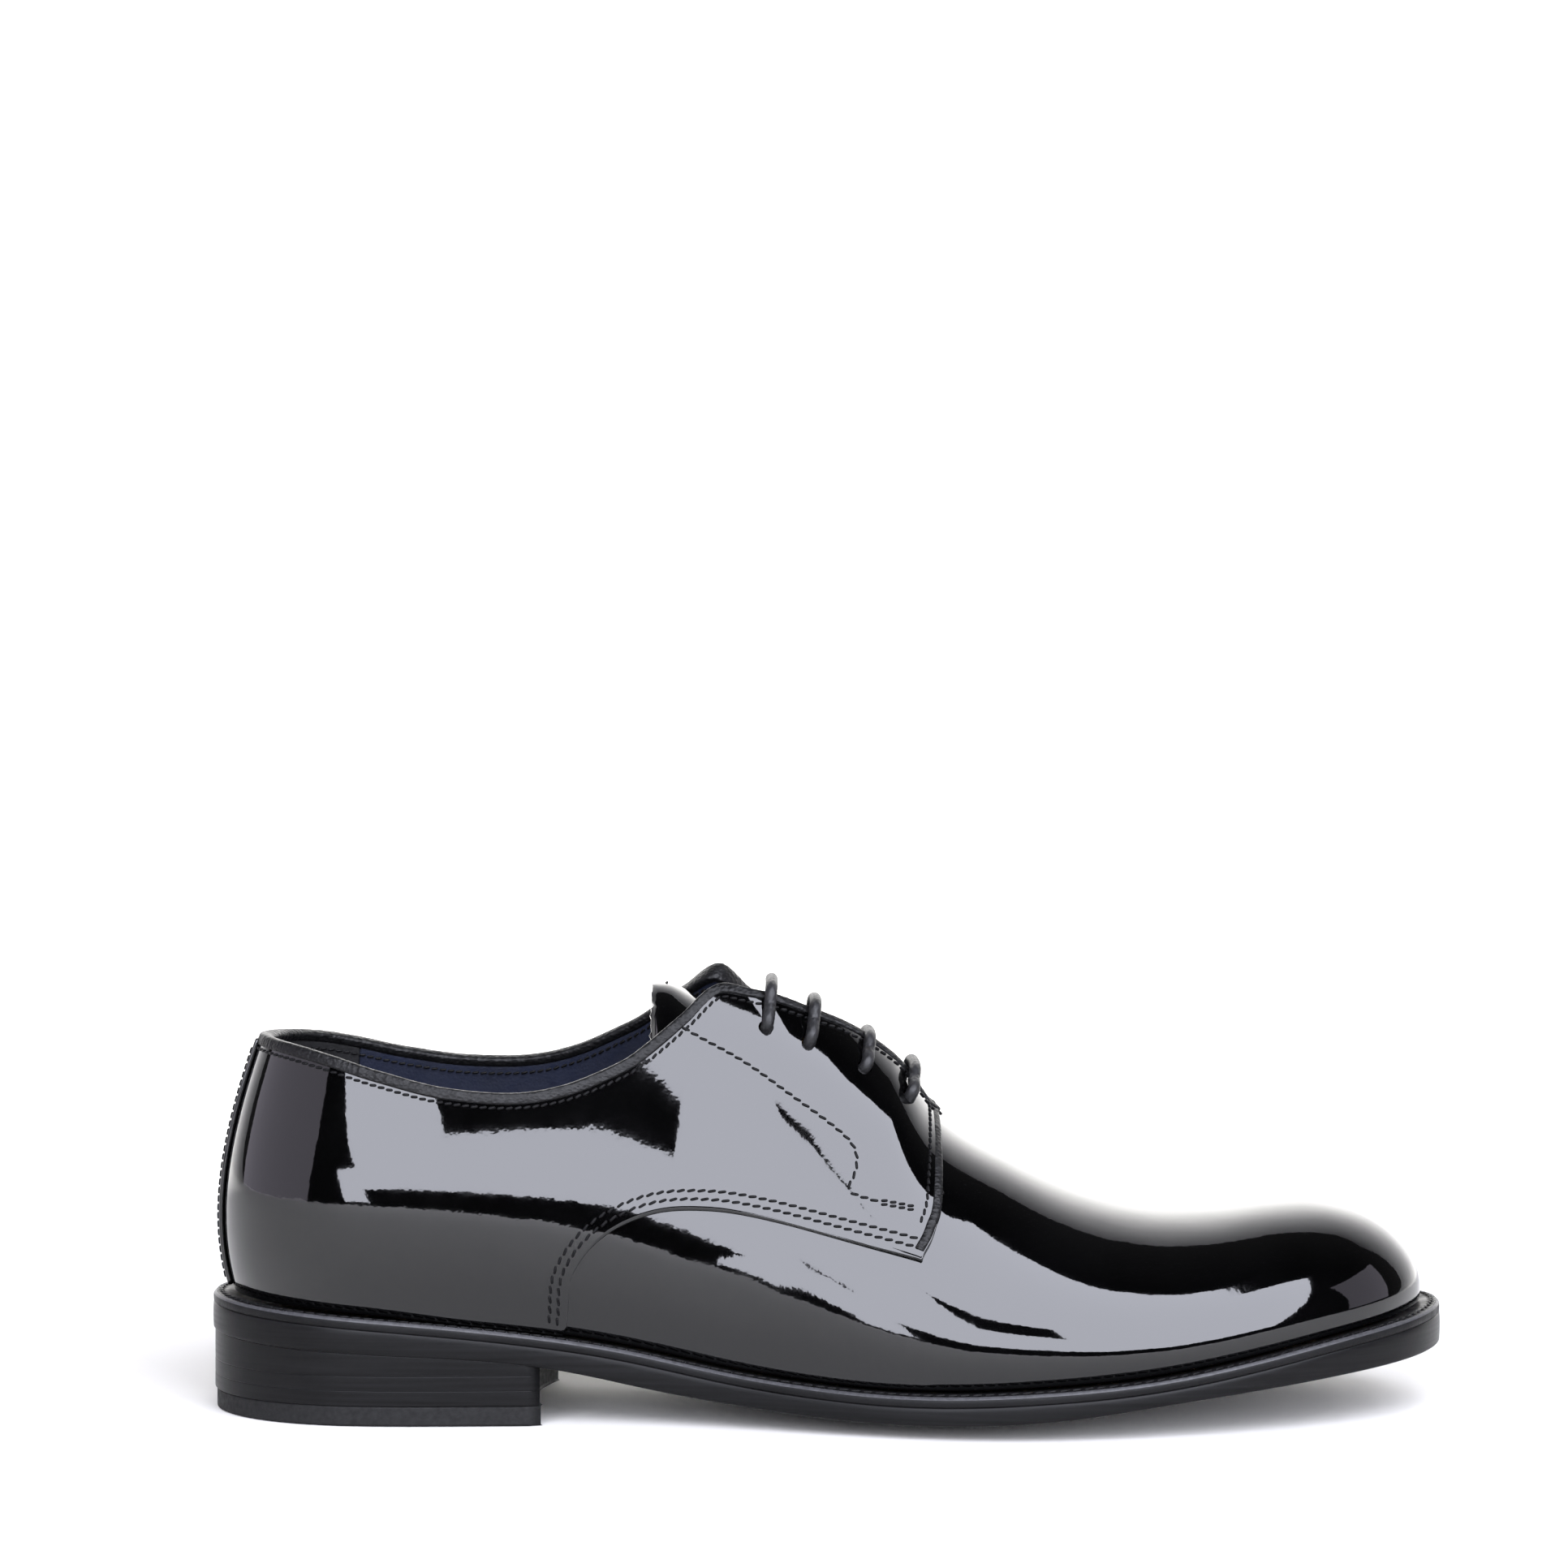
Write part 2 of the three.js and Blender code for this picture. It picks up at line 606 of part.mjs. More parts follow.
// Collar line, [x, z] on each side, from the back to the top of the facing.
const TOPLINE = {
  [LATERAL]: [
    [-139.6, 92], [-127.7, 90], [-111.8, 85.7], [-96.7, 81.4], [-81.8, 79.2], [-69, 79.8], [-59.6, 82.3],
    [-52.2, 85.5], [-44.8, 90.2], [-36.5, 97], [-27.7, 103.5],
  ],
  [MEDIAL]: [
    [-139.6, 92], [-127.7, 90.6], [-111.8, 87], [-96.7, 84.2], [-82.8, 83.2], [-69, 85], [-60, 88],
    [-52.2, 91.8], [-44.7, 96.3], [-37.5, 101.5], [-28, 106.5],
  ],
};
const collarHeight = { [LATERAL]: splineThrough(TOPLINE[LATERAL]), [MEDIAL]: splineThrough(TOPLINE[MEDIAL]) };

// Where the column at this turn meets the collar line.
function collarPlace(side, turn) {
  let [low, high] = [0.2, 0.95];
  for (let i = 0; i < 30; i++) {
    const middle = (low + high) / 2;
    const p = upperPoint(side * turn, middle);
    if (p.z < collarHeight[side](Math.max(-139.6, p.x))) low = middle;
    else high = middle;
  }
  return [side * turn, low];
}

// Columns that every rear layer shares, from the back seam forwards, as turns.
const REAR_TURNS = [0, 0.12, 0.23, 0.35, 0.48, 0.61, 0.75, 0.89, 1.02, 1.12];
const GRIP_END = 5; // the column where the heel grip meets the quarter linings
const COLLAR_FRONT_X = [-52.2, -44.8, -36.5, -28];

function highLine(side) {
  const rear = REAR_TURNS.map((turn) => collarPlace(side, turn));
  const front = COLLAR_FRONT_X.map((x) => locate(side, x, { z: collarHeight[side](x) }));
  const facing = [-19.5, -9, 1, 11, 19, 26].map((x) => facingEdge(side, x));
  return [...rear, ...front, ...facing];
}
const boundHighLine = (side) => highLine(side).map((place) => lowered(place, BINDING_HEIGHT));

// Low line of the quarter: along the welt, then up the front seam to the throat and the facing's front.
const FRONT_SEAM = [
  [-62, 35.6], [-54.5, 45.2], [-41.8, 50.9], [-28.3, 51.6], [-14, 49.5], [-2, 46.7], [9, 44], [21.3, 41],
  [24.5, 47], [26.5, 55],
];
const SEAM_HALF_GAP = 0.0025; // as a turn

function quarterPairs(side) {
  const welt = REAR_TURNS.map((turn) => [side * turn, 0]);
  const seam = FRONT_SEAM.map(([x, z]) => locate(side, x, { z }));
  const high = boundHighLine(side);
  welt[0][0] = side * SEAM_HALF_GAP;
  high[0][0] = side * SEAM_HALF_GAP;
  return [...welt, ...seam].map((place, i) => [place, high[i]]);
}

// The vamp's hidden rear edge, under the quarter, as [x, z]; it ends on the ridge behind the throat.
const VAMP_REAR = [[-73.5, 37], [-61, 52], [-42, 59.5], [-28, 60.5], [-11, 58], [7, 54], [17, 55], [21.5, 64]];
const VAMP_REAR_FEET = [-78, -66, -50, -33, -12, 8, 17, 22];
const VAMP_RIDGE_END = 24;
const FOREFOOT_COLUMNS = [34, 46, 60, 75, 90, 102, 112, 121, 129, 136, 141.5, 145.5, 147.5];

// A vamp-like patch over both sides: rear pairs, then columns from the welt to the ridge, round the toe.
function vampPatch(rearFeet, rearLine, ridgeEnd, columnsPerPair, rows) {
  const sidePairs = (side) => {
    const rear = rearFeet.map((x, i) => {
      const [highX, z] = rearLine[i];
      return [foot(side, x), locate(side, highX, { z })];
    });
    const front = FOREFOOT_COLUMNS.map((x) => [foot(side, x), ridge(side, x)]);
    return [...rear, [foot(side, ridgeEnd + 2), ridge(side, ridgeEnd)], ...front];
  };
  const grid = (side) => stationPatch(sidePairs(side), columnsPerPair, rows);
  return joinedPatch(turnedOver(grid(LATERAL)), grid(MEDIAL));
}

const vampOuter = () => 0;
const vampInner = () => -LEATHER;

// The quarter lining runs from the heel grip to the front of the facing; the vamp lining takes over below it.
const LINING_SEAM = [[-33, 26], [-26, 33], [-14, 44], [-1, 51], [10, 54], [19, 59]];
const LINING_SEAM_FEET = [-34, -30, -22, -12, 4, 17];
const LINING_SEAM_GAP = 2.2;

function liningPairs(side) {
  const rearHigh = boundHighLine(side).slice(GRIP_END, REAR_TURNS.length + COLLAR_FRONT_X.length);
  const facing = [-19.5, -9, 1, 10, 20.3].map((x) => lowered(facingEdge(side, x), BINDING_HEIGHT));
  const rearFeet = REAR_TURNS.slice(GRIP_END).map((turn) => [side * turn, 0]);
  const frontFeet = [-54, -46, -40].map((x) => foot(side, x));
  const seam = LINING_SEAM.map(([x, z]) => locate(side, x, { z }));
  const high = [...rearHigh, ...facing];
  return [...rearFeet, ...frontFeet, ...seam].map((place, i) => [place, high[i]]);
}

// A band round the back on the shared columns, with rows at shares of the collar's height.
function rearPatch(lastColumn, shares, trim = 0) {
  const turns = REAR_TURNS.slice(0, lastColumn + 1);
  const signed = [...turns.slice(1).reverse().map((turn) => -turn), ...turns];
  const columns = signed.length - 1;
  const rows = shares.length - 1;
  return gridPatch(columns, rows, (s, t) => {
    const i = Math.round(s * columns);
    const turn = signed[i];
    const side = turn < 0 ? LATERAL : MEDIAL;
    const top = lowered(collarPlace(side, Math.abs(turn)), BINDING_HEIGHT)[1];
    const atEnd = i === 0 || i === columns ? trim : 0;
    return [turn - Math.sign(turn) * atEnd, top * shares[Math.round(t * rows)]];
  });
}
const ROWS = 6; // of every upper shell
const gripPatch = () => rearPatch(GRIP_END, [0, 1, 2, 3, 4, 5, 6].map((row) => row / ROWS), 0.01);
const counterPatch = () => rearPatch(8, [0.02, 1 / ROWS, 2 / ROWS, 3 / ROWS, 4 / ROWS]);
const backstayPatch = () => rearPatch(1, [0.02, 1, 2, 3, 4, 5, 6].map((row) => Math.max(0.02, row / ROWS)));
const counterOuter = () => -LEATHER - LAYER_GAP;
const counterInner = () => counterOuter() - STIFFENER;
const backstayOuter = () => LEATHER + GAP;
const backstayInner = () => GAP;

// The toe puff shares the vamp's columns and its lower rows.
const PUFF_START = 102;
const VAMP_ROWS = 5;
function puffPatch() {
  const columns = FOREFOOT_COLUMNS.filter((x) => x >= PUFF_START);
  const grid = (side) =>
    gridPatch(columns.length - 1, VAMP_ROWS - 1, (s, t) => {
      const x = columns[Math.round(s * (columns.length - 1))];
      return [foot(side, x)[0], Math.max(0.02, (t * (VAMP_ROWS - 1)) / VAMP_ROWS)];
    });
  return joinedPatch(turnedOver(grid(LATERAL)), grid(MEDIAL));
}
const puffOuter = () => -LEATHER - LAYER_GAP;
const puffInner = () => puffOuter() - STIFFENER;

// The binding closes the top edges of quarters and linings all round the collar and down both facings.
function bindingPairs() {
  const lateral = highLine(LATERAL).reverse();
  const medial = highLine(MEDIAL).slice(1);
  return [...lateral, ...medial].map((place) => [lowered(place, BINDING_HEIGHT - GAP), place]);
}
function bindingInner(turn, rise) {
  const overVamp = smoothStep(13, 19, upperPoint(turn, rise).x);
  const inner = liningInner(turn, rise);
  return inner + (quarterInner(turn, rise) + 0.2 - inner) * overVamp;
}

// The tongue lies under the facings and droops where it stands free above them.
const TONGUE_FRONT = 21.6;
const TONGUE_REAR = -45;
const tongueDepth = splineThrough([
  [-45, -10.5], [-36, -8.6], [-28, -6.6], [-20, -4.8], [-8, -3.6], [5, -3.4], [14, -3.5], [18, -3.3], [21.6, -2],
]);
const tongueHalfWidth = splineThrough([
  [-45, 13], [-42, 17], [-34, 18], [-24, 16.5], [-17, 17], [-8, 18.6], [8, 18.6], [16, 16.5], [21.6, 13],
]);
function tonguePatch(margin) {
  const front = TONGUE_FRONT - margin;
  const rear = TONGUE_REAR + margin;
  const grid = (side) =>
    gridPatch(9, 3, (s, t) => {
      const x = front + (rear - front) * s;
      const edge = locate(side, x, { y: ridgeY(x) + side * (tongueHalfWidth(x) - margin) });
      const middle = ridge(side, x);
      return [middle[0] + (edge[0] - middle[0]) * t, middle[1] + (edge[1] - middle[1]) * t];
    });
  return joinedPatch(grid(LATERAL), turnedOver(grid(MEDIAL)));
}
const tongueOuter = (turn) => tongueDepth(spineX(turn));
const tongueInner = (turn) => tongueOuter(turn) - LEATHER;
const tongueLiningOuter = (turn) => tongueInner(turn) - GAP;
const tongueLiningInner = (turn) => tongueLiningOuter(turn) - 0.8;

// Lacing rows from the throat (1) to the collar (4).
const EYELET_ROWS = [16.9, 6, -6.6, -16.3];
const EYELET_FROM_EDGE = 8.7;

function eyeletAt(side, x) {
  const [turn, rise] = lowered(facingEdge(side, x), EYELET_FROM_EDGE);
  const outward = upperNormal(turn, rise);
  return { turn, rise, outward, base: upperPoint(turn, rise) };
}

function eyeletTool(eyelet, radius) {
  const start = eyelet.base.clone().addScaledVector(eyelet.outward, -3);
  return pegGeometry(start, eyelet.outward, radius, 10, 10);
}

function facingStayPairs(side) {
  return [-18, -9, 0, 9, 16, 20].map((x) => {
    const edge = facingEdge(side, x);
    return [lowered(edge, 15), lowered(edge, BINDING_HEIGHT + 0.5)];
  });
}

function eyeletGeometry({ turn, rise, outward, base }) {
  const top = stayOuter(turn, rise) - 0.4;
  const bottom = liningInner(turn, rise);
  const profile = [
    [HOLE_RADIUS, bottom],
    [HOLE_RADIUS + 0.4, bottom],
    [HOLE_RADIUS + 0.4, top - STAY],
    [EYELET_FLANGE_RADIUS, top - STAY],
    [EYELET_FLANGE_RADIUS, top],
    [HOLE_RADIUS, top],
    [HOLE_RADIUS, bottom],
  ].map(([r, z]) => new THREE.Vector2(r, z));
  const turned = new THREE.Quaternion().setFromUnitVectors(new THREE.Vector3(0, 1, 0), outward);
  return new THREE.LatheGeometry(profile, 10).applyQuaternion(turned).translate(base.x, base.y, base.z);
}

function addUppers() {
  for (const side of [LATERAL, MEDIAL]) {
    const name = side === LATERAL ? "lateral" : "medial";
    const eyelets = EYELET_ROWS.map((x) => eyeletAt(side, x));
    const holes = (radius) => eyelets.map((eyelet) => eyeletTool(eyelet, radius));
    const quarter = shell(stationPatch(quarterPairs(side), 1, ROWS), quarterOuter, quarterInner);
    addPiece(`quarter_${name}`, cutAway(quarter, holes(HOLE_RADIUS)), PATENT);
    const lining = shell(stationPatch(liningPairs(side), 1, ROWS), liningOuter, liningInner);
    addPiece(`quarter_lining_${name}`, cutAway(lining, holes(HOLE_RADIUS + 0.7)), NAVY);
    const stay = shell(stationPatch(facingStayPairs(side), 1, 2), stayOuter, stayInner);
    addPiece(`facing_stay_${name}`, cutAway(stay, holes(EYELET_FLANGE_RADIUS + GAP)), STIFF_BOARD);
    eyelets.forEach((eyelet, i) => addPiece(`eyelet_${name}_${i + 1}`, eyeletGeometry(eyelet), BRASS));
  }
  const vamp = vampPatch(VAMP_REAR_FEET, VAMP_REAR, VAMP_RIDGE_END, 1, VAMP_ROWS);
  addPiece("vamp", shell(vamp, vampOuter, vampInner), PATENT);
  const seamFeet = LINING_SEAM_FEET.map((x) => x + LINING_SEAM_GAP);
  const seamLine = LINING_SEAM.map(([x, z]) => [x + LINING_SEAM_GAP, z - LINING_SEAM_GAP]);
  const vampLining = vampPatch(seamFeet, seamLine, VAMP_RIDGE_END + 1, 1, VAMP_ROWS);
  addPiece("vamp_lining", shell(vampLining, vampLiningOuter, vampLiningInner), NAVY);
  addPiece("toe_puff", shell(puffPatch(), puffOuter, puffInner), STIFF_BOARD);
  addPiece("heel_counter", shell(counterPatch(), counterOuter, counterInner), STIFF_BOARD);
  addPiece("heel_grip", shell(gripPatch(), liningOuter, liningInner), BLACK_LINING);
  addPiece("backstay", shell(backstayPatch(), backstayOuter, backstayInner), PATENT);
  addPiece("topline_binding", shell(stationPatch(bindingPairs(), 1, 1), quarterOuter, bindingInner), BINDING);
  addPiece("tongue", shell(tonguePatch(0), tongueOuter, tongueInner), PATENT);
  addPiece("tongue_lining", shell(tonguePatch(1), tongueLiningOuter, tongueLiningInner), NAVY);
}

// ---- the lace ----

// The lace's middle line: up from the sock, through the rows in straight bars, and back down to the sock.
const LACE_ROUTE = [
  // first tail: along the sock, up the lateral wall, under the facing
  [-108, -14.5, 31.8], [-98, -14.8, 30.9], [-88, -15, 30], [-78, -15.1, 28.9], [-68, -15.1, 27.6],
  [-58, -15, 26.2], [-50, -15.2, 24.9], [-43.5, -17, 23.8], [-39, -20.8, 25.2], [-36.6, -24.6, 30.2],
  [-35.8, -25.8, 38], [-35.3, -25.2, 47.5], [-34.8, -23.4, 58.5], [-34, -20.8, 70], [-32.4, -17.8, 80],
  [-28.5, -16.4, 87], [-22, -16.2, 90.4],
  // row 4, lateral to medial
  [-16.6, -17.2, 91.4], [-15.1, -23.8, 95.5], [-14.5, -21.2, 99.8], [-14.1, -17.8, 104.3], [-14.2, 1.9, 104.8],
  [-14.3, 21.4, 101.3], [-14.6, 24.4, 96.3], [-15.1, 26.4, 91.9], [-16.6, 19, 88.3],
  // inside, down to row 2
  [-11.7, 19.8, 83.9], [-7.1, 19.9, 79.1], [-0.6, 20.6, 78],
  // row 2, medial to lateral
  [5.6, 19.6, 76.8], [8.1, 25.7, 81.1], [8.7, 22.7, 85.2], [9.3, 19.2, 89], [9.6, 2.7, 91.9],
  [9.9, -13.8, 91.8], [9.5, -18, 88.7], [8.9, -21.9, 85.5], [5.5, -17.1, 80.2],
  // inside, down to row 1
  [10.9, -17, 76.7],
  // row 1, lateral to medial
  [16.1, -16.4, 73.1], [20.1, -20.2, 78.8], [20.6, -15.8, 81.4], [21, -11.4, 83.9], [20.7, 3.1, 84.5],
  [20.5, 17.6, 81.9], [19.9, 21.4, 78.6], [19.3, 25.1, 75], [16.3, 19.6, 70.1],
  // inside, up to row 3
  [10.8, 17.8, 75.9], [5.7, 16.9, 80], [-0.8, 18.5, 82.1],
  // row 3, medial to lateral
  [-6.9, 19.5, 83.9], [-4.9, 26.2, 87.7], [-4.4, 23.7, 92], [-4, 20.7, 96.6], [-3.7, 2.2, 99.9],
  [-3.4, -16.2, 100], [-3.9, -20, 95.8], [-4.6, -23.2, 91.9], [-7, -17.3, 87.2],
  // second tail: under the facing, down the lateral wall, along the sock
  [-11.6, -14.9, 91.2], [-16.5, -13.6, 95.6], [-21, -13.4, 96.2], [-26, -14, 93.6], [-30.5, -14.8, 90.8],
  [-35, -16.4, 84.5], [-37.4, -19.4, 75], [-38.8, -22.2, 64], [-39.5, -24.4, 52.5],
  [-40.2, -25.4, 42], [-42, -25.2, 33], [-45, -22.8, 26.9], [-50, -19.6, 25], [-58, -18.8, 26.2],
  [-68, -18.9, 27.6], [-78, -19, 28.9], [-88, -18.9, 30], [-95, -18.7, 30.7],
];

// A curve whose even steps fall on the route's own points.
class RouteCurve extends THREE.Curve {
  constructor(points) {
    super();
    this.points = points;
  }

  getPoint(t, target = new THREE.Vector3()) {
    const place = clamp(t, 0, 1) * (this.points.length - 1);
    const i = Math.min(this.points.length - 2, Math.floor(place));
    return target.lerpVectors(this.points[i], this.points[i + 1], place - i);
  }

  getPointAt(u, target) {
    return this.getPoint(u, target);
  }

  getTangentAt(u, target = new THREE.Vector3()) {
    const half = 0.5 / (this.points.length - 1);
    return target.subVectors(this.getPoint(u + half), this.getPoint(u - half)).normalize();
  }
}

function circleShape(radius, sides) {
  const corners = [];
  for (let i = 0; i < sides; i++) {
    const angle = (2 * Math.PI * i) / sides;
    corners.push(new THREE.Vector2(radius * Math.cos(angle), radius * Math.sin(angle)));
  }
  return new THREE.Shape(corners);
}

const AGLET_LENGTH = 18;
const AGLET_RADIUS = 1.35;

function addLace() {
  const points = LACE_ROUTE.map((p) => new THREE.Vector3(...p));
  const tube = new THREE.ExtrudeGeometry(circleShape(LACE_DIAMETER / 2, 8), {
    steps: points.length - 1,
    extrudePath: new RouteCurve(points),
  });
  addPiece("lace", toGeometry(toSolid(tube)), LACE_CORD);
  const ends = [points.slice(0, 2), points.slice(-2).reverse()];
  ends.forEach(([end, before], i) => {
    const away = end.clone().sub(before).normalize();
    const start = end.clone().addScaledVector(away, GAP);
    addPiece(`lace_aglet_${i + 1}`, pegGeometry(start, away, AGLET_RADIUS, AGLET_LENGTH, 10), RUBBER);
  });
}

addSole();
addHeel();
addUppers();
addLace();

export default shoe;
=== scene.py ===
"""The looks of a right-foot derby dress shoe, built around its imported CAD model.

Lengths below are in millimetres and MM turns them into the scene's metres. +X points to the toe, +Y to the
medial side, +Z up, as in the CAD model.
"""
import math

import bmesh
import bpy
import numpy as np
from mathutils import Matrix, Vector


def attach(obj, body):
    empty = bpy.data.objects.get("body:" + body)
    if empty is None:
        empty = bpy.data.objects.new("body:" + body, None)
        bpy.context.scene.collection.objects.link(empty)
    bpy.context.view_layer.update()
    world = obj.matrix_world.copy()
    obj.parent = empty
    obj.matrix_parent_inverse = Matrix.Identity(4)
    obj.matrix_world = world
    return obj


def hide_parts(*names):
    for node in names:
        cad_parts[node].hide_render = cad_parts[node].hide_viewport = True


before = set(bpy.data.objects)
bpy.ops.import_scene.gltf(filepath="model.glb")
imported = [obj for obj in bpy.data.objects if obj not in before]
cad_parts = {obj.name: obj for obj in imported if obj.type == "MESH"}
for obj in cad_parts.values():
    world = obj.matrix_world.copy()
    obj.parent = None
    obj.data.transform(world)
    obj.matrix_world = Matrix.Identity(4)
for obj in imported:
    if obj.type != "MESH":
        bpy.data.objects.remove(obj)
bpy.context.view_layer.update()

MM = 0.001

# ---- driving dimensions, shared with the CAD model ----
SHOE_LENGTH = 305
UPPER_INSET = 5
GAP = 0.3
LAYER_GAP = 0.65
FOOT_GAP = 0.85
LEATHER = 1.3
LINING = 1
STIFFENER = 1.2
STAY = 0.4
WELT_THICKNESS = 2.6
INSOLE_THICKNESS = 2.8
SOCK_THICKNESS = 1
BINDING_HEIGHT = 3
LACE_DIAMETER = 3.1
HEEL_BREAST_X = -68
HEEL_BREAST_HOLLOW = 5
TOP_PIECE_THICKNESS = 5
LIFT_THICKNESS = 3.2

# ---- lengthwise profiles: (x, value) ----
WELT_TOP = [
    (-152.5, 28.6), (-134, 27.3), (-109, 25.5), (-70, 21.6), (-51, 18.7), (-24, 13.7), (-5, 11.5),
    (14, 10.5), (49, 11.7), (75, 13.9), (102, 18.1), (126, 22.2), (152.5, 25.4),
]
SOLE_EDGE_BOTTOM = [
    (-152.5, 19.4), (-110, 17.1), (-70, 14.2), (-59, 12.3), (-45, 9.4), (-24, 6.2), (-5, 4.3), (14, 3.5),
    (32, 3.7), (58, 5.6), (75, 7.8), (112, 11.8), (137, 14.1), (152.5, 15.3),
]
SOLE_CROWN = [
    (-152.5, 0), (-110, 0), (-66, 0), (-50, 1), (-20, 3.2), (14, 4.6), (40, 4.8), (75, 2.8), (120, 1),
    (152.5, 0.6),
]
RIDGE_TOP = [
    (-112, 133), (-90, 131.5), (-70, 128), (-50, 121.5), (-35, 115.5), (-21, 109.3), (-5, 98.4), (10, 86.2),
    (20, 77.8), (30, 69.3), (44, 61.4), (53, 57.1), (62, 53.5), (71.5, 50.9), (81, 49.4), (90, 49.1),
    (99, 49.5), (108, 50.3), (114, 50.6),
]
RIDGE_Y = [(-112, 1), (-70, 1), (-30, 1.5), (10, 2), (60, 4), (90, 5), (114, 5.8)]
CENTRE_Y = [(-152.5, 1), (-70, -1), (0, -1.5), (60, 0.5), (110, 4), (152.5, 7)]
LATERAL_OUTLINE = [
    (-119.5, -32.6), (-100, -34), (-70, -33.4), (-45, -34), (-20, -39), (10, -47.8), (35, -52.8),
    (55, -53.4), (80, -50.2), (105, -43), (125, -33.5), (140, -22),
]
MEDIAL_OUTLINE = [
    (-119.5, 33.6), (-100, 34), (-70, 31), (-45, 27.2), (-20, 26.6), (10, 33.5), (35, 44.5), (60, 52.4),
    (75, 53.4), (95, 51.3), (115, 44.8), (130, 36.5), (140, 28.8),
]
HEEL_END_RADIUS = 33
TOE_END_RADIUS = 31
FULLNESS = [(-152.5, 1.9), (-110, 2.2), (-60, 2.2), (0, 2), (60, 2.05), (110, 2.15), (152.5, 2.2)]
SWELL = [(-152.5, 3.2), (-120, 4.5), (-80, 4.5), (-40, 2.5), (0, 1.5), (60, 1.5), (110, 0.8), (152.5, 0.4)]
OVERHANG = [(-112, 0.02), (-80, 0.14), (-50, 0.42), (-20, 0.58), (0, 0.46), (20, 0.22), (45, 0.04), (62, 0)]
SPINE_REAR = -112
SPINE_FRONT = 114
SPINE_SOFTNESS = 7
SWELL_TOP = 0.75
OVERHANG_FULL = 0.42

LATERAL = -1
MEDIAL = 1
SIDES = {"lateral": LATERAL, "medial": MEDIAL}

# ---- camera: level, at the distance and height that fit the outline in the reference picture ----
CAMERA_PLACE = (-0.0111, -0.815, 0.1533)
CAMERA_LENS = 75.3


def add_camera():
    data = bpy.data.cameras.new("camera")
    data.sensor_width = 36
    data.lens = CAMERA_LENS
    camera = bpy.data.objects.new("camera", data)
    camera.location = CAMERA_PLACE
    camera.rotation_euler = (math.radians(90), 0, 0)
    bpy.context.scene.collection.objects.link(camera)
    bpy.context.scene.camera = camera


add_camera()

# ---- curves and the upper's surface, as in the CAD model ----


class Spline:
    """A natural cubic spline through (x, value) points."""

    def __init__(self, points):
        self.x, self.y = np.array(points, float).T
        count = len(self.x)
        step = np.diff(self.x)
        matrix = np.eye(count)
        right = np.zeros(count)
        for i in range(1, count - 1):
            matrix[i, i - 1 : i + 2] = step[i - 1], 2 * (step[i - 1] + step[i]), step[i]
            rise_after = (self.y[i + 1] - self.y[i]) / step[i]
            rise_before = (self.y[i] - self.y[i - 1]) / step[i - 1]
            right[i] = 6 * (rise_after - rise_before)
        self.bend = np.linalg.solve(matrix, right)

    def __call__(self, x):
        x = np.asarray(x, float)
        i = np.clip(np.searchsorted(self.x, x), 1, len(self.x) - 1)
        span = self.x[i] - self.x[i - 1]
        a = (self.x[i] - x) / span
        b = (x - self.x[i - 1]) / span
        curl = ((a**3 - a) * self.bend[i - 1] + (b**3 - b) * self.bend[i]) * span**2 / 6
        return a * self.y[i - 1] + b * self.y[i] + curl


def smooth_step(low, high, x):
    t = np.clip((x - low) / (high - low), 0, 1)
    return t * t * (3 - 2 * t)


welt_top = Spline(WELT_TOP)
sole_edge_bottom = Spline(SOLE_EDGE_BOTTOM)
sole_crown = Spline(SOLE_CROWN)
ridge_top = Spline(RIDGE_TOP)
ridge_y = Spline(RIDGE_Y)
centre_y = Spline(CENTRE_Y)
fullness = Spline(FULLNESS)
swell = Spline(SWELL)
overhang_curve = Spline(OVERHANG)


def overhang(x):
    return overhang_curve(x) * smooth_step(-130, -105, x) * smooth_step(62, 45, x)


def width_spline(outline):
    half = SHOE_LENGTH / 2
    points = [(0, math.sqrt(HEEL_END_RADIUS * half))]
    for x, y in outline:
        turn = math.acos(-x / half)
        points.append((turn, abs(y - float(centre_y(x))) / math.sin(turn)))
    points.append((math.pi, math.sqrt(TOE_END_RADIUS * half)))
    return Spline(points)


lateral_width = width_spline(LATERAL_OUTLINE)
medial_width = width_spline(MEDIAL_OUTLINE)


def wrap_turn(turn):
    return (np.asarray(turn, float) + math.pi) % (2 * math.pi) - math.pi


def outline_at(turn, inset):
    """Points (x, y) of the plan outline, moved inwards by inset."""
    turn = wrap_turn(turn)
    x = -(SHOE_LENGTH / 2 - inset) * np.cos(turn)
    width = np.where(turn < 0, lateral_width(-turn), medial_width(turn))
    return x, centre_y(x) + np.sin(turn) * (width - inset)


def spine_x(turn):
    def soft(value):
        return SPINE_SOFTNESS * np.log1p(np.exp(value / SPINE_SOFTNESS))

    x = -(SHOE_LENGTH / 2 - UPPER_INSET) * np.cos(turn)
    front = SPINE_FRONT - soft(SPINE_FRONT - x)
    return SPINE_REAR + soft(front - SPINE_REAR)


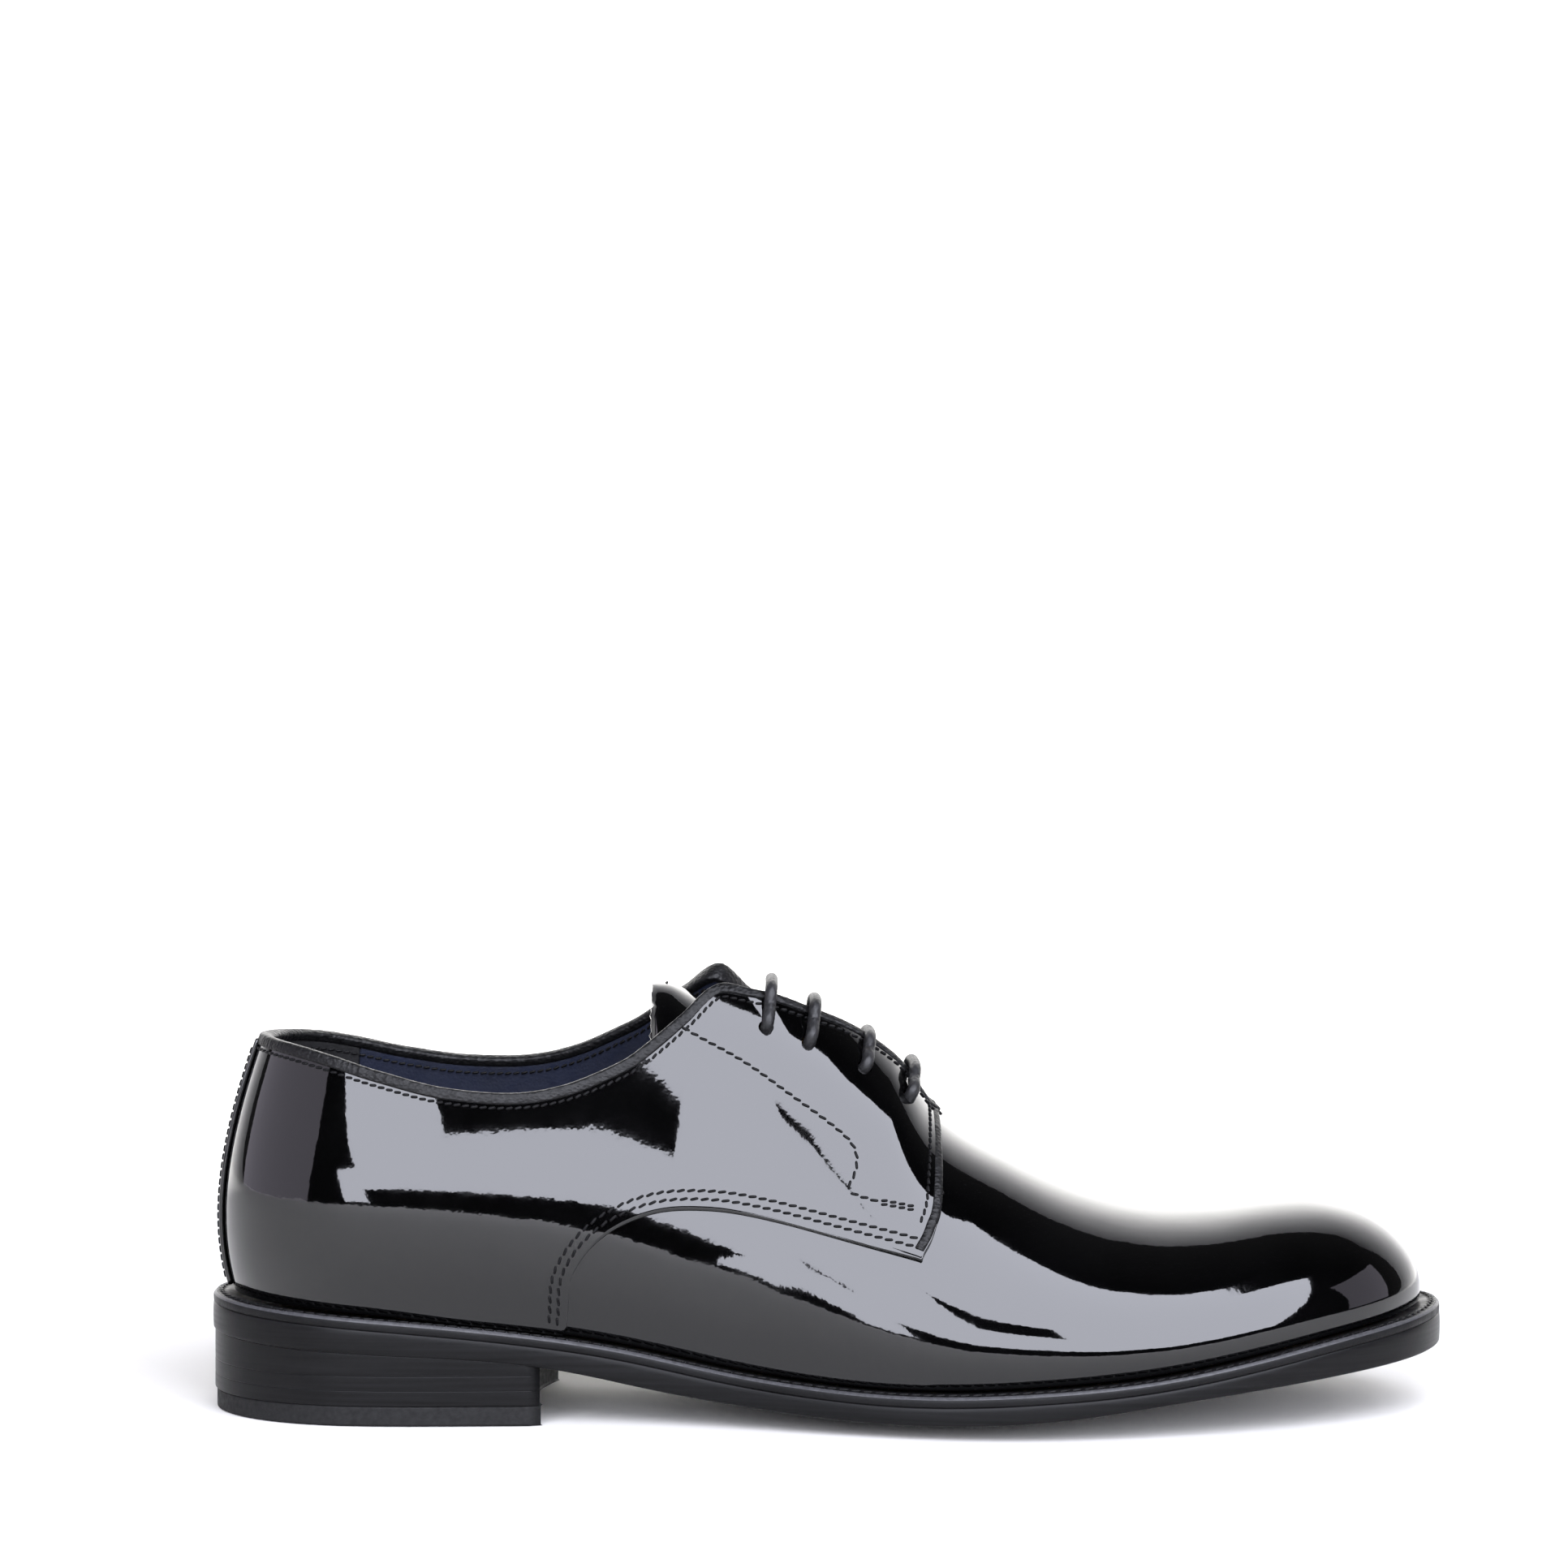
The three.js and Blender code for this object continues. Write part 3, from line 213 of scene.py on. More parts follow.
def upper_point(turn, rise):
    """The upper's surface. Rise runs from 0 at the welt to 1 on the ridge."""
    turn = wrap_turn(turn)
    foot_x, foot_y = outline_at(turn, UPPER_INSET)
    foot_z = welt_top(foot_x) + FOOT_GAP
    top_x = spine_x(turn)
    roundness = 2 / fullness(foot_x)
    angle = np.clip(rise, 0, 1) * math.pi / 2
    inward = 1 - np.cos(angle).clip(1e-9) ** roundness
    upward = np.sin(angle) ** roundness
    across_x = top_x - foot_x
    across_y = ridge_y(top_x) - foot_y
    t = np.clip(upward / SWELL_TOP, 0, 1)
    out = swell(foot_x) * 6.75 * t * (1 - t) ** 2 / np.hypot(across_x, across_y)
    share = overhang(foot_x) * smooth_step(0, OVERHANG_FULL, upward) * (1 - inward)
    widened = np.where(turn > 0, share, 0)
    reach = inward - out - widened
    z = foot_z + upward * (ridge_top(top_x) - foot_z)
    return np.stack([foot_x + reach * across_x, foot_y + reach * across_y, z], -1)


def unit(vectors):
    return vectors / np.linalg.norm(vectors, axis=-1, keepdims=True).clip(1e-9)


def upper_normal(turn, rise):
    step = 0.004
    held = np.clip(rise, 0.02, 1)
    along = upper_point(turn + step, held) - upper_point(turn - step, held)
    up = upper_point(turn, np.minimum(1, held + step)) - upper_point(turn, held - step)
    normal = unit(np.cross(up, along))
    x = spine_x(wrap_turn(turn))
    slope = ridge_top(x + 0.5) - ridge_top(x - 0.5)
    on_ridge = unit(np.stack([-slope, 0 * slope, 0 * slope + 1], -1))
    return np.where((held > 0.999)[..., None], on_ridge, normal)


def layer_point(places, offset):
    turn, rise = places[..., 0], places[..., 1]
    return upper_point(turn, rise) + upper_normal(turn, rise) * np.asarray(offset)[..., None]


def locate(side, x, z=None, y=None):
    """Places of the surface points with this x and this height (or this y)."""
    x = np.asarray(x, float)
    turn = side * np.arccos(np.clip(-x / (SHOE_LENGTH / 2 - UPPER_INSET), -0.999, 0.999))
    rise = np.full_like(x, 0.8 if z is None else 0.5)

    def miss(turn, rise):
        p = upper_point(turn, rise)
        return p[..., 0] - x, (p[..., 1] - y) if z is None else (p[..., 2] - z)

    step = 1e-4
    for _ in range(40):
        fx, fz = miss(turn, rise)
        ax, az = miss(turn + step, rise)
        bx, bz = miss(turn, rise + step)
        xt, zt, xr, zr = (ax - fx) / step, (az - fz) / step, (bx - fx) / step, (bz - fz) / step
        det = xt * zr - xr * zt
        turn = turn + np.clip((-fx * zr + fz * xr) / det, -0.1, 0.1)
        rise = np.clip(rise + np.clip((-xt * fz + zt * fx) / det, -0.1, 0.1), 0.001, 0.998)
    return np.stack([turn, rise], -1)


def foot(side, x):
    return (side * math.acos(-x / (SHOE_LENGTH / 2 - UPPER_INSET)), 0.0)


def ridge(side, x):
    return (foot(side, x)[0], 1.0)


def lowered(places, distance):
    """Moves places down the surface, away from the ridge, by a distance."""
    places = np.asarray(places, float)
    turn, rise = places[..., 0], places[..., 1]
    step = 0.01
    run = np.linalg.norm(upper_point(turn, rise) - upper_point(turn, rise - step), axis=-1)
    return np.stack([turn, rise - distance * step / run], -1)


def walked(places, direction, distance, steps=3):
    """Moves places over the surface along 3-D directions by a distance."""
    places = np.array(places, float)
    d = 1e-4
    for _ in range(steps):
        turn, rise = places[..., 0], places[..., 1]
        p = upper_point(turn, rise)
        by_turn = (upper_point(turn + d, rise) - p) / d
        by_rise = (p - upper_point(turn, rise - d)) / d
        a = (by_turn**2).sum(-1)
        b = (by_turn * by_rise).sum(-1)
        c = (by_rise**2).sum(-1)
        u = (by_turn * direction).sum(-1)
        v = (by_rise * direction).sum(-1)
        det = (a * c - b * b).clip(1e-9)
        places[..., 0] += (u * c - v * b) / det * distance / steps
        places[..., 1] += (a * v - b * u) / det * distance / steps
    return places


def inset_line(places, distance, side_sign):
    """A line of places moved sideways over the surface; side_sign picks the side."""
    p = upper_point(places[:, 0], places[:, 1])
    normal = upper_normal(places[:, 0], places[:, 1])
    sideways = unit(np.cross(normal, np.gradient(p, axis=0))) * side_sign
    return walked(places, sideways, distance)


# ---- layers: heights over the upper's surface ----
# The facings rise a little sooner and fuller than in the CAD model, as leather does over a laced tongue.
LAP_HEIGHT = LEATHER + 0.1
FACING_TOP = 5  # as in the CAD model, where the lace lies on it
FACING_FULLNESS = 1.2


def on_facing(x, rise):
    return smooth_step(-40, -12, x) * smooth_step(0.24, 0.64, rise)


def surface_x(places):
    return upper_point(places[..., 0], places[..., 1])[..., 0]


def quarter_outer(places):
    x = surface_x(places)
    rise = places[..., 1]
    lap = LAP_HEIGHT * smooth_step(-115, -82, x)
    along = smooth_step(-10, 4, x) * (1 - smooth_step(6, 25, x))
    full = FACING_FULLNESS * smooth_step(0.4, 0.85, rise) * along
    facing = (FACING_TOP - LAP_HEIGHT) * on_facing(x, rise) * (1 - smooth_step(12, 28, x))
    return lap + full + facing


def quarter_inner(places):
    return quarter_outer(places) - LEATHER


def lining_low(stiffened):
    return -LEATHER - LAYER_GAP - (STIFFENER + LAYER_GAP) * stiffened


def collar_rise(turn):
    """Rise of the collar line at each turn."""
    medial = np.interp(turn, HIGH_LINE[MEDIAL][:, 0], HIGH_LINE[MEDIAL][:, 1])
    lateral = np.interp(-turn, -HIGH_LINE[LATERAL][:, 0], HIGH_LINE[LATERAL][:, 1])
    return np.where(turn < 0, lateral, medial)


def lining_outer(places):
    x = surface_x(places)
    low = lining_low(smooth_step(-64, -74, x))
    near_collar = smooth_step(0.3, 0, collar_rise(places[..., 0]) - places[..., 1]) * smooth_step(-30, -45, x)
    low = low + (quarter_inner(places) - 0.4 - low) * near_collar
    high = quarter_inner(places) - 2 * LAYER_GAP - STAY
    return low + (high - low) * on_facing(x, places[..., 1])


def lining_inner(places):
    return lining_outer(places) - LINING


def vamp_lining_outer(places):
    x = surface_x(places)
    return lining_low(smooth_step(72, 88, x)) - 0.6 * smooth_step(34, 24, x)


def vamp_lining_inner(places):
    return vamp_lining_outer(places) - LINING


# ---- lines on the upper ----
REAR_TURNS = [0, 0.12, 0.23, 0.35, 0.48, 0.61, 0.75, 0.89, 1.02, 1.12]
GRIP_END = 5
COLLAR_FRONT_X = [-52.2, -44.8, -36.5, -28]
FACING_X = [-19.5, -9, 1, 9, 15, 20, 23.5, 26]
TOPLINE = {
    LATERAL: [
        (-139.6, 92), (-127.7, 90), (-111.8, 85.7), (-96.7, 81.4), (-81.8, 79.2), (-69, 79.8), (-59.6, 82.3),
        (-52.2, 85.5), (-44.8, 90.2), (-36.5, 97), (-27.7, 103.5),
    ],
    MEDIAL: [
        (-139.6, 92), (-127.7, 90.6), (-111.8, 87), (-96.7, 84.2), (-82.8, 83.2), (-69, 85), (-60, 88),
        (-52.2, 91.8), (-44.7, 96.3), (-37.5, 101.5), (-28, 106.5),
    ],
}
COLLAR_HEIGHT = {side: Spline(line) for side, line in TOPLINE.items()}
FRONT_SEAM = [
    (-62, 35.6), (-54.5, 45.2), (-41.8, 50.9), (-28.3, 51.6), (-14, 49.5), (-2, 46.7), (9, 44), (19.6, 41.4),
    (21.3, 41), (22, 42.4), (24.5, 47), (26.5, 55),
]
EYELET_ROWS = [16.9, 6, -6.6, -16.3]
EYELET_FROM_EDGE = 8.7


def facing_edge(side, x, drawn_in=0.0):
    """The facing's edge as in the CAD model, or drawn in toward the ridge."""
    x = np.asarray(x, float)
    half_gap = 14.5 - 4 * (x + 20) / 48 - drawn_in
    return locate(side, x, y=ridge_y(x) + side * half_gap)


def closed_edge(side, x):
    """The facing's edge as worn: the two sides draw together toward the toe."""
    return facing_edge(side, x, 2.6 * smooth_step(-18, 13, np.asarray(x, float)))


def collar_place(side, turn):
    low, high = 0.2, 0.95
    for _ in range(30):
        middle = (low + high) / 2
        x, _, z = upper_point(side * turn, middle)
        if z < COLLAR_HEIGHT[side](max(COLLAR_HEIGHT[side].x[0], x)):
            low = middle
        else:
            high = middle
    return (side * turn, low)


def high_line(side):
    rear = np.array([collar_place(side, turn) for turn in REAR_TURNS])
    x = np.array(COLLAR_FRONT_X)
    front = locate(side, x, z=COLLAR_HEIGHT[side](x))
    return np.concatenate([rear, front, closed_edge(side, FACING_X)])


HIGH_LINE = {side: high_line(side) for side in (LATERAL, MEDIAL)}


def flowing(stations, count):
    """A smooth line through stations, sampled evenly in station number."""
    stations = np.asarray(stations, float)
    last = len(stations) - 1
    f = np.linspace(0, last, count)
    i = np.minimum(last - 1, f.astype(int))
    t = (f - i).reshape(-1, *[1] * (stations.ndim - 1))
    p0, p1, p2, p3 = (stations[np.clip(i + k, 0, last)] for k in (-1, 0, 1, 2))
    a = 2 * t**3 - 3 * t**2 + 1
    b = t**3 - 2 * t**2 + t
    c = -2 * t**3 + 3 * t**2
    d = t**3 - t**2
    return a * p1 + b * (p2 - p0) / 2 + c * p2 + d * (p3 - p1) / 2


def between_lines(low, high, rows):
    """A grid of places: columns along the two lines, rows from low to high."""
    t = np.linspace(0, 1, rows)[None, :, None]
    low, high = np.array(low), np.array(high)
    low[:, 1] = low[:, 1].clip(0, 1)
    high[:, 1] = high[:, 1].clip(0, 1)
    return low[:, None] + (high - low)[:, None] * t


# ---- meshes ----


def finished_mesh(name, points, faces):
    """A welded mesh in metres with its faces turned outwards."""
    mesh = bpy.data.meshes.new(name)
    mesh.from_pydata((np.asarray(points, float) * MM).tolist(), [], faces)
    work = bmesh.new()
    work.from_mesh(mesh)
    bmesh.ops.remove_doubles(work, verts=work.verts, dist=0.004 * MM)
    bmesh.ops.recalc_face_normals(work, faces=work.faces)
    work.to_mesh(mesh)
    work.free()
    mesh.shade_smooth()
    return mesh


def grid_faces(index, wrap=False):
    if wrap:
        index = np.concatenate([index, index[:1]])
    quads = np.stack([index[:-1, :-1], index[1:, :-1], index[1:, 1:], index[:-1, 1:]], -1)
    return quads.reshape(-1, 4).tolist()


RIM_ROWS = 5


def grid_parts(top, bottom, no_rim=None):
    """Points and faces of a closed body between two grids of points, with a round rim.

    no_rim(a, b) says which border edges, between grid places a and b, join another body and get no rim.
    """
    columns, rows = top.shape[:2]
    count = columns * rows
    index = np.arange(count).reshape(columns, rows)
    faces = grid_faces(index) + [face[::-1] for face in grid_faces(index + count)]
    loop = [(c, 0) for c in range(columns)] + [(columns - 1, r) for r in range(1, rows)]
    loop += [(c, rows - 1) for c in range(columns - 2, -1, -1)] + [(0, r) for r in range(rows - 2, 0, -1)]
    loop = np.array(loop)
    at = tuple(loop.T)
    within = (loop[:, 0].clip(1, columns - 2), loop[:, 1].clip(1, rows - 2))
    middle = (top[at] + bottom[at]) / 2
    half = (top[at] - bottom[at]) / 2
    outward = middle - (top[within] + bottom[within]) / 2
    axis = unit(half)
    outward = unit(outward - (outward * axis).sum(-1, keepdims=True) * axis)
    reach = np.linalg.norm(half, axis=-1, keepdims=True) * 0.7
    rings = [index[at]]
    points = [top.reshape(-1, 3), bottom.reshape(-1, 3)]
    for k in range(RIM_ROWS):
        angle = math.pi * (k + 1) / (RIM_ROWS + 1)
        points.append(middle + half * math.cos(angle) + outward * reach * math.sin(angle))
        rings.append(np.arange(len(loop)) + 2 * count + k * len(loop))
    rings.append(index[at] + count)
    rings = np.array(rings)
    for i, place in enumerate(loop):
        j = (i + 1) % len(loop)
        if no_rim is None or not no_rim(place, loop[j]):
            faces += np.stack([rings[:-1, i], rings[1:, i], rings[1:, j], rings[:-1, j]], -1).tolist()
    return np.concatenate(points), faces


def joined_mesh(name, parts):
    points, faces, count = [], [], 0
    for part_points, part_faces in parts:
        points.append(part_points)
        faces += [[v + count for v in face] for face in part_faces]
        count += len(part_points)
    return finished_mesh(name, np.concatenate(points), faces)


def shell_parts(places, outer, inner, no_rim=None):
    return grid_parts(layer_point(places, outer(places)), layer_point(places, inner(places)), no_rim)


def shell(name, places, outer, inner):
    return joined_mesh(name, [shell_parts(places, outer, inner)])


def loft(name, sections, closed=False):
    """A body swept through closed sections, an array (stations, points, 3). Open ends are capped."""
    stations, count = sections.shape[:2]
    index = np.arange(stations * count).reshape(stations, count)
    index = np.concatenate([index, index[:, :1]], 1)
    faces = grid_faces(index, wrap=closed)
    if not closed:
        faces += [index[0, :-1].tolist(), index[-1, :-1][::-1].tolist()]
    return finished_mesh(name, sections.reshape(-1, 3), faces)


def add_piece(mesh, material, replaces=(), body="shoe"):
    """A piece named after its mesh, in one material, riding on a body."""
    piece = bpy.data.objects.new(mesh.name, mesh)
    bpy.context.scene.collection.objects.link(piece)
    mesh.materials.append(material)
    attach(piece, body)
    if replaces:
        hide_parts(*replaces)
    return piece


def resampled(points, step):
    """Evenly spaced points along a polyline, and how far along each lies."""
    length = np.concatenate([[0], np.cumsum(np.linalg.norm(np.diff(points, axis=0), axis=1))])
    count = max(2, int(round(length[-1] / step)) + 1)
    at = np.linspace(0, length[-1], count)
    return np.stack([np.interp(at, length, points[:, k]) for k in range(points.shape[1])], 1), at


def bead(radius, half_length, sides=6):
    """A capsule along x: points and faces."""
    half = [(-1, 0.0), (-0.93, 0.55), (-0.72, 0.92), (-0.35, 1.0)]
    rows = half + [(-along, wide) for along, wide in reversed(half)]
    points = []
    for along, wide in rows:
        for k in range(sides):
            angle = 2 * math.pi * k / sides
            across = wide * radius
            points.append((along * half_length, across * math.cos(angle), across * math.sin(angle)))
    faces = []
    for r in range(len(rows) - 1):
        for k in range(sides):
            a, b = r * sides + k, r * sides + (k + 1) % sides
            faces.append([a, b, b + sides, a + sides])
    return np.array(points), np.array(faces)


STITCH_LIFT = 0.1
STITCH_SLANT = 0.22


def stitch_mesh(name, lines, radius=0.34, fill=0.82):
    """Thread stitches along lines. A line is (points, normals, pitch)."""
    points, faces = [], []
    count = 0
    for line, normals, pitch in lines:
        both, _ = resampled(np.concatenate([line, normals], 1), pitch)
        line, normals = both[:, :3], unit(both[:, 3:])
        middle = (line[1:] + line[:-1]) / 2
        straight = unit(np.diff(line, axis=0))
        up = unit(normals[1:] + normals[:-1])
        along = unit(straight + STITCH_SLANT * np.cross(up, straight))
        across = np.cross(up, along)
        shape, quads = bead(radius, pitch * fill / 2)
        for m, x, y, z in zip(middle, along, across, up):
            local = shape[:, :1] * x + shape[:, 1:2] * y + (shape[:, 2:] + STITCH_LIFT) * z
            points.append(m + local)
            faces.append(quads + count)
            count += len(shape)
    return finished_mesh(name, np.concatenate(points), np.concatenate(faces).tolist())


def stitch_line(places, offset, pitch):
    return layer_point(places, offset(places)), upper_normal(places[:, 0], places[:, 1]), pitch


def add_stitches(name, lines, body="shoe"):
    add_piece(stitch_mesh(name, lines), THREAD, body=body)


# ---- materials ----


class Look:
    """A node material under construction."""

    def __init__(self, name, specular=0.5, coat=0, coat_roughness=0.03, metallic=0, sheen=0):
        self.material = bpy.data.materials.new(name)
        self.material.use_nodes = True
        self.nodes = self.material.node_tree.nodes
        self.links = self.material.node_tree.links
        self.surface = self.nodes["Principled BSDF"]
        self.surface.inputs["Specular IOR Level"].default_value = specular
        self.surface.inputs["Coat Weight"].default_value = coat
        self.surface.inputs["Coat Roughness"].default_value = coat_roughness
        self.surface.inputs["Metallic"].default_value = metallic
        self.surface.inputs["Sheen Weight"].default_value = sheen
        self.coordinates = self.nodes.new("ShaderNodeTexCoord")
        self.normal = None

    def stretched(self, scale):
        mapping = self.nodes.new("ShaderNodeMapping")
        mapping.inputs["Scale"].default_value = scale
        self.links.new(self.coordinates.outputs["Object"], mapping.inputs["Vector"])
        return mapping.outputs["Vector"]

    def noise(self, scale, detail=2, stretch=(1, 1, 1)):
        node = self.nodes.new("ShaderNodeTexNoise")
        node.inputs["Scale"].default_value = scale
        node.inputs["Detail"].default_value = detail
        self.links.new(self.stretched(stretch), node.inputs["Vector"])
        return node.outputs["Fac"]

    def cells(self, scale, stretch=(1, 1, 1)):
        node = self.nodes.new("ShaderNodeTexVoronoi")
        node.inputs["Scale"].default_value = scale
        self.links.new(self.stretched(stretch), node.inputs["Vector"])
        return node.outputs["Distance"]

    def colour(self, value, low, high, from_value=0.3, to_value=0.7):
        node = self.nodes.new("ShaderNodeValToRGB")
        node.color_ramp.elements[0].position = from_value
        node.color_ramp.elements[1].position = to_value
        node.color_ramp.elements[0].color = (*low, 1)
        node.color_ramp.elements[1].color = (*high, 1)
        self.links.new(value, node.inputs["Fac"])
        self.links.new(node.outputs["Color"], self.surface.inputs["Base Color"])

    def roughness(self, value, low, high):
        node = self.nodes.new("ShaderNodeMapRange")
        node.inputs["From Min"].default_value = 0.3
        node.inputs["From Max"].default_value = 0.7
        node.inputs["To Min"].default_value = low
        node.inputs["To Max"].default_value = high
        self.links.new(value, node.inputs["Value"])
        self.links.new(node.outputs["Result"], self.surface.inputs["Roughness"])

    def bump(self, value, depth):
        """Relief of this depth in millimetres."""
        node = self.nodes.new("ShaderNodeBump")
        node.inputs["Distance"].default_value = depth * MM
        node.inputs["Strength"].default_value = 1
        self.links.new(value, node.inputs["Height"])
        if self.normal:
            self.links.new(self.normal, node.inputs["Normal"])
        self.normal = node.outputs["Normal"]
        self.links.new(self.normal, self.surface.inputs["Normal"])
        if self.surface.inputs["Coat Weight"].default_value:
            self.links.new(self.normal, self.surface.inputs["Coat Normal"])


def grey(value, blue=1.08):
    return (value, value, value * blue)


def patent_leather():
    look = Look("patent_leather", coat=0.35, coat_roughness=0.015)
    look.colour(look.noise(30), grey(0.0005), grey(0.0012))
    look.roughness(look.noise(180, 3), 0.03, 0.055)
    look.bump(look.noise(55, 1), 0.12)
    look.bump(look.noise(420, 2), 0.012)
    return look.material


def binding_leather():
    look = Look("binding_leather", specular=0.22)
    look.colour(look.noise(600, 3), grey(0.0018), grey(0.0045))
    look.roughness(look.noise(500, 3), 0.34, 0.5)
    look.bump(look.cells(900, (1, 1, 1.6)), 0.16)
    look.bump(look.noise(2200, 3), 0.06)
    return look.material


def lining_leather(name, low, high):
    look = Look(name, specular=0.35, sheen=0.05)
    look.colour(look.noise(90, 4), low, high)
    look.roughness(look.noise(300, 3), 0.5, 0.66)
    look.bump(look.cells(1500), 0.05)
    look.bump(look.noise(120, 3), 0.12)
    return look.material


def sole_edge_leather():
    look = Look("sole_edge_leather", specular=0.15)
    streaks = look.noise(90, 4, (0.3, 0.3, 14))
    look.colour(streaks, grey(0.0022), grey(0.005))
    look.roughness(streaks, 0.3, 0.38)
    look.bump(streaks, 0.02)
    look.bump(look.noise(900, 2), 0.015)
    return look.material


def sole_underside_leather():
    look = Look("sole_underside_leather", specular=0.15)
    look.colour(look.noise(45, 5), grey(0.0025), grey(0.006))
    look.roughness(look.noise(200, 3), 0.36, 0.55)
    look.bump(look.noise(1200, 4), 0.05)
    return look.material


def welt_bevel_painted_highlight():
    # Painted highlight: a pale grey that stands in for the light caught by the welt's bevel, not the
    # leather's own colour.
    look = Look("welt_bevel_painted_highlight", specular=0.3)
    look.colour(look.noise(900, 3), grey(0.03), grey(0.05))
    look.roughness(look.noise(700, 3), 0.3, 0.45)
    look.bump(look.noise(1500, 3), 0.03)
    return look.material


def top_piece_rubber():
    look = Look("top_piece_rubber", specular=0.3)
    look.colour(look.noise(500, 4), grey(0.0025), grey(0.0045))
    look.roughness(look.noise(700, 3), 0.6, 0.8)
    look.bump(look.noise(1800, 3), 0.05)
    return look.material


def thread():
    look = Look("black_thread", specular=0.12)
    look.colour(look.noise(1500, 2), grey(0.002), grey(0.006))
    look.roughness(look.noise(900), 0.38, 0.55)
    look.bump(look.noise(5000, 1), 0.05)
    return look.material


def waxed_cord():
    look = Look("waxed_cord", specular=0.35)
    look.colour(look.noise(700, 3), grey(0.005), grey(0.014))
    look.roughness(look.noise(900, 2), 0.36, 0.5)
    look.bump(look.noise(3500, 2), 0.05)
    return look.material


def gloss_plastic():
    look = Look("gloss_plastic")
    look.colour(look.noise(300), grey(0.006), grey(0.012))
    look.roughness(look.noise(600), 0.12, 0.25)
    look.bump(look.noise(900), 0.01)
    return look.material


def natural_leather():
    look = Look("natural_leather", specular=0.3)
    look.colour(look.noise(60, 5), (0.3, 0.17, 0.08), (0.46, 0.29, 0.15))
    look.roughness(look.noise(300, 3), 0.55, 0.75)
    look.bump(look.noise(1100, 4), 0.06)
    return look.material


def stiff_cloth():
    look = Look("stiff_cloth", specular=0.2)
    look.colour(look.cells(1400), (0.2, 0.14, 0.08), (0.36, 0.27, 0.17), 0.1, 0.6)
    look.roughness(look.noise(500, 3), 0.75, 0.92)
    look.bump(look.cells(1400), 0.08)
    return look.material


def cork_mix():
    look = Look("cork_mix", specular=0.2)
    look.colour(look.cells(420), (0.16, 0.09, 0.04), (0.48, 0.31, 0.16), 0.1, 0.7)
    look.roughness(look.noise(500, 3), 0.75, 0.92)
    look.bump(look.cells(420), 0.25)
    return look.material


def metal(name, low, high, low_roughness, high_roughness):
    look = Look(name, metallic=1)
    look.colour(look.noise(150, 4), low, high)
    look.roughness(look.noise(700, 4, (1, 1, 5)), low_roughness, high_roughness)
    look.bump(look.noise(1600, 3), 0.01)
    return look.material


PATENT = patent_leather()
BINDING = binding_leather()
NAVY = lining_leather("navy_lining", (0.002, 0.0038, 0.012), (0.0035, 0.0065, 0.02))
BLACK_LINING = lining_leather("black_lining", grey(0.003), grey(0.008))
SOLE_EDGE = sole_edge_leather()
SOLE_UNDERSIDE = sole_underside_leather()
# The pale material of the painted highlight on the welt's bevel.
WELT_BEVEL_HIGHLIGHT = welt_bevel_painted_highlight()
RUBBER = top_piece_rubber()
THREAD = thread()
CORD = waxed_cord()
PLASTIC = gloss_plastic()
TAN = natural_leather()
STIFF_CLOTH = stiff_cloth()
CORK = cork_mix()
STEEL = metal("plain_steel", (0.35, 0.35, 0.37), (0.55, 0.55, 0.57), 0.25, 0.45)
BRASS = metal("eyelet_brass", (0.4, 0.27, 0.1), (0.62, 0.45, 0.2), 0.25, 0.4)


def dress_cad_nodes():
    """Gives the CAD nodes that stay, all of them hidden inside the shoe, their materials."""
    looks = {"insole_board": TAN, "insole_rib": TAN, "cork_filler": CORK, "shank": STEEL}
    looks["toe_puff"] = STIFF_CLOTH
    looks.update({f"heel_nail_{i}": STEEL for i in range(1, 6)})
    for side in SIDES:
        looks[f"facing_stay_{side}"] = STIFF_CLOTH
        looks.update({f"eyelet_{side}_{i}": BRASS for i in range(1, 5)})
    for name, material in looks.items():
        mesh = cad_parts[name].data
        mesh.materials.clear()
        mesh.materials.append(material)


# ---- lace ----

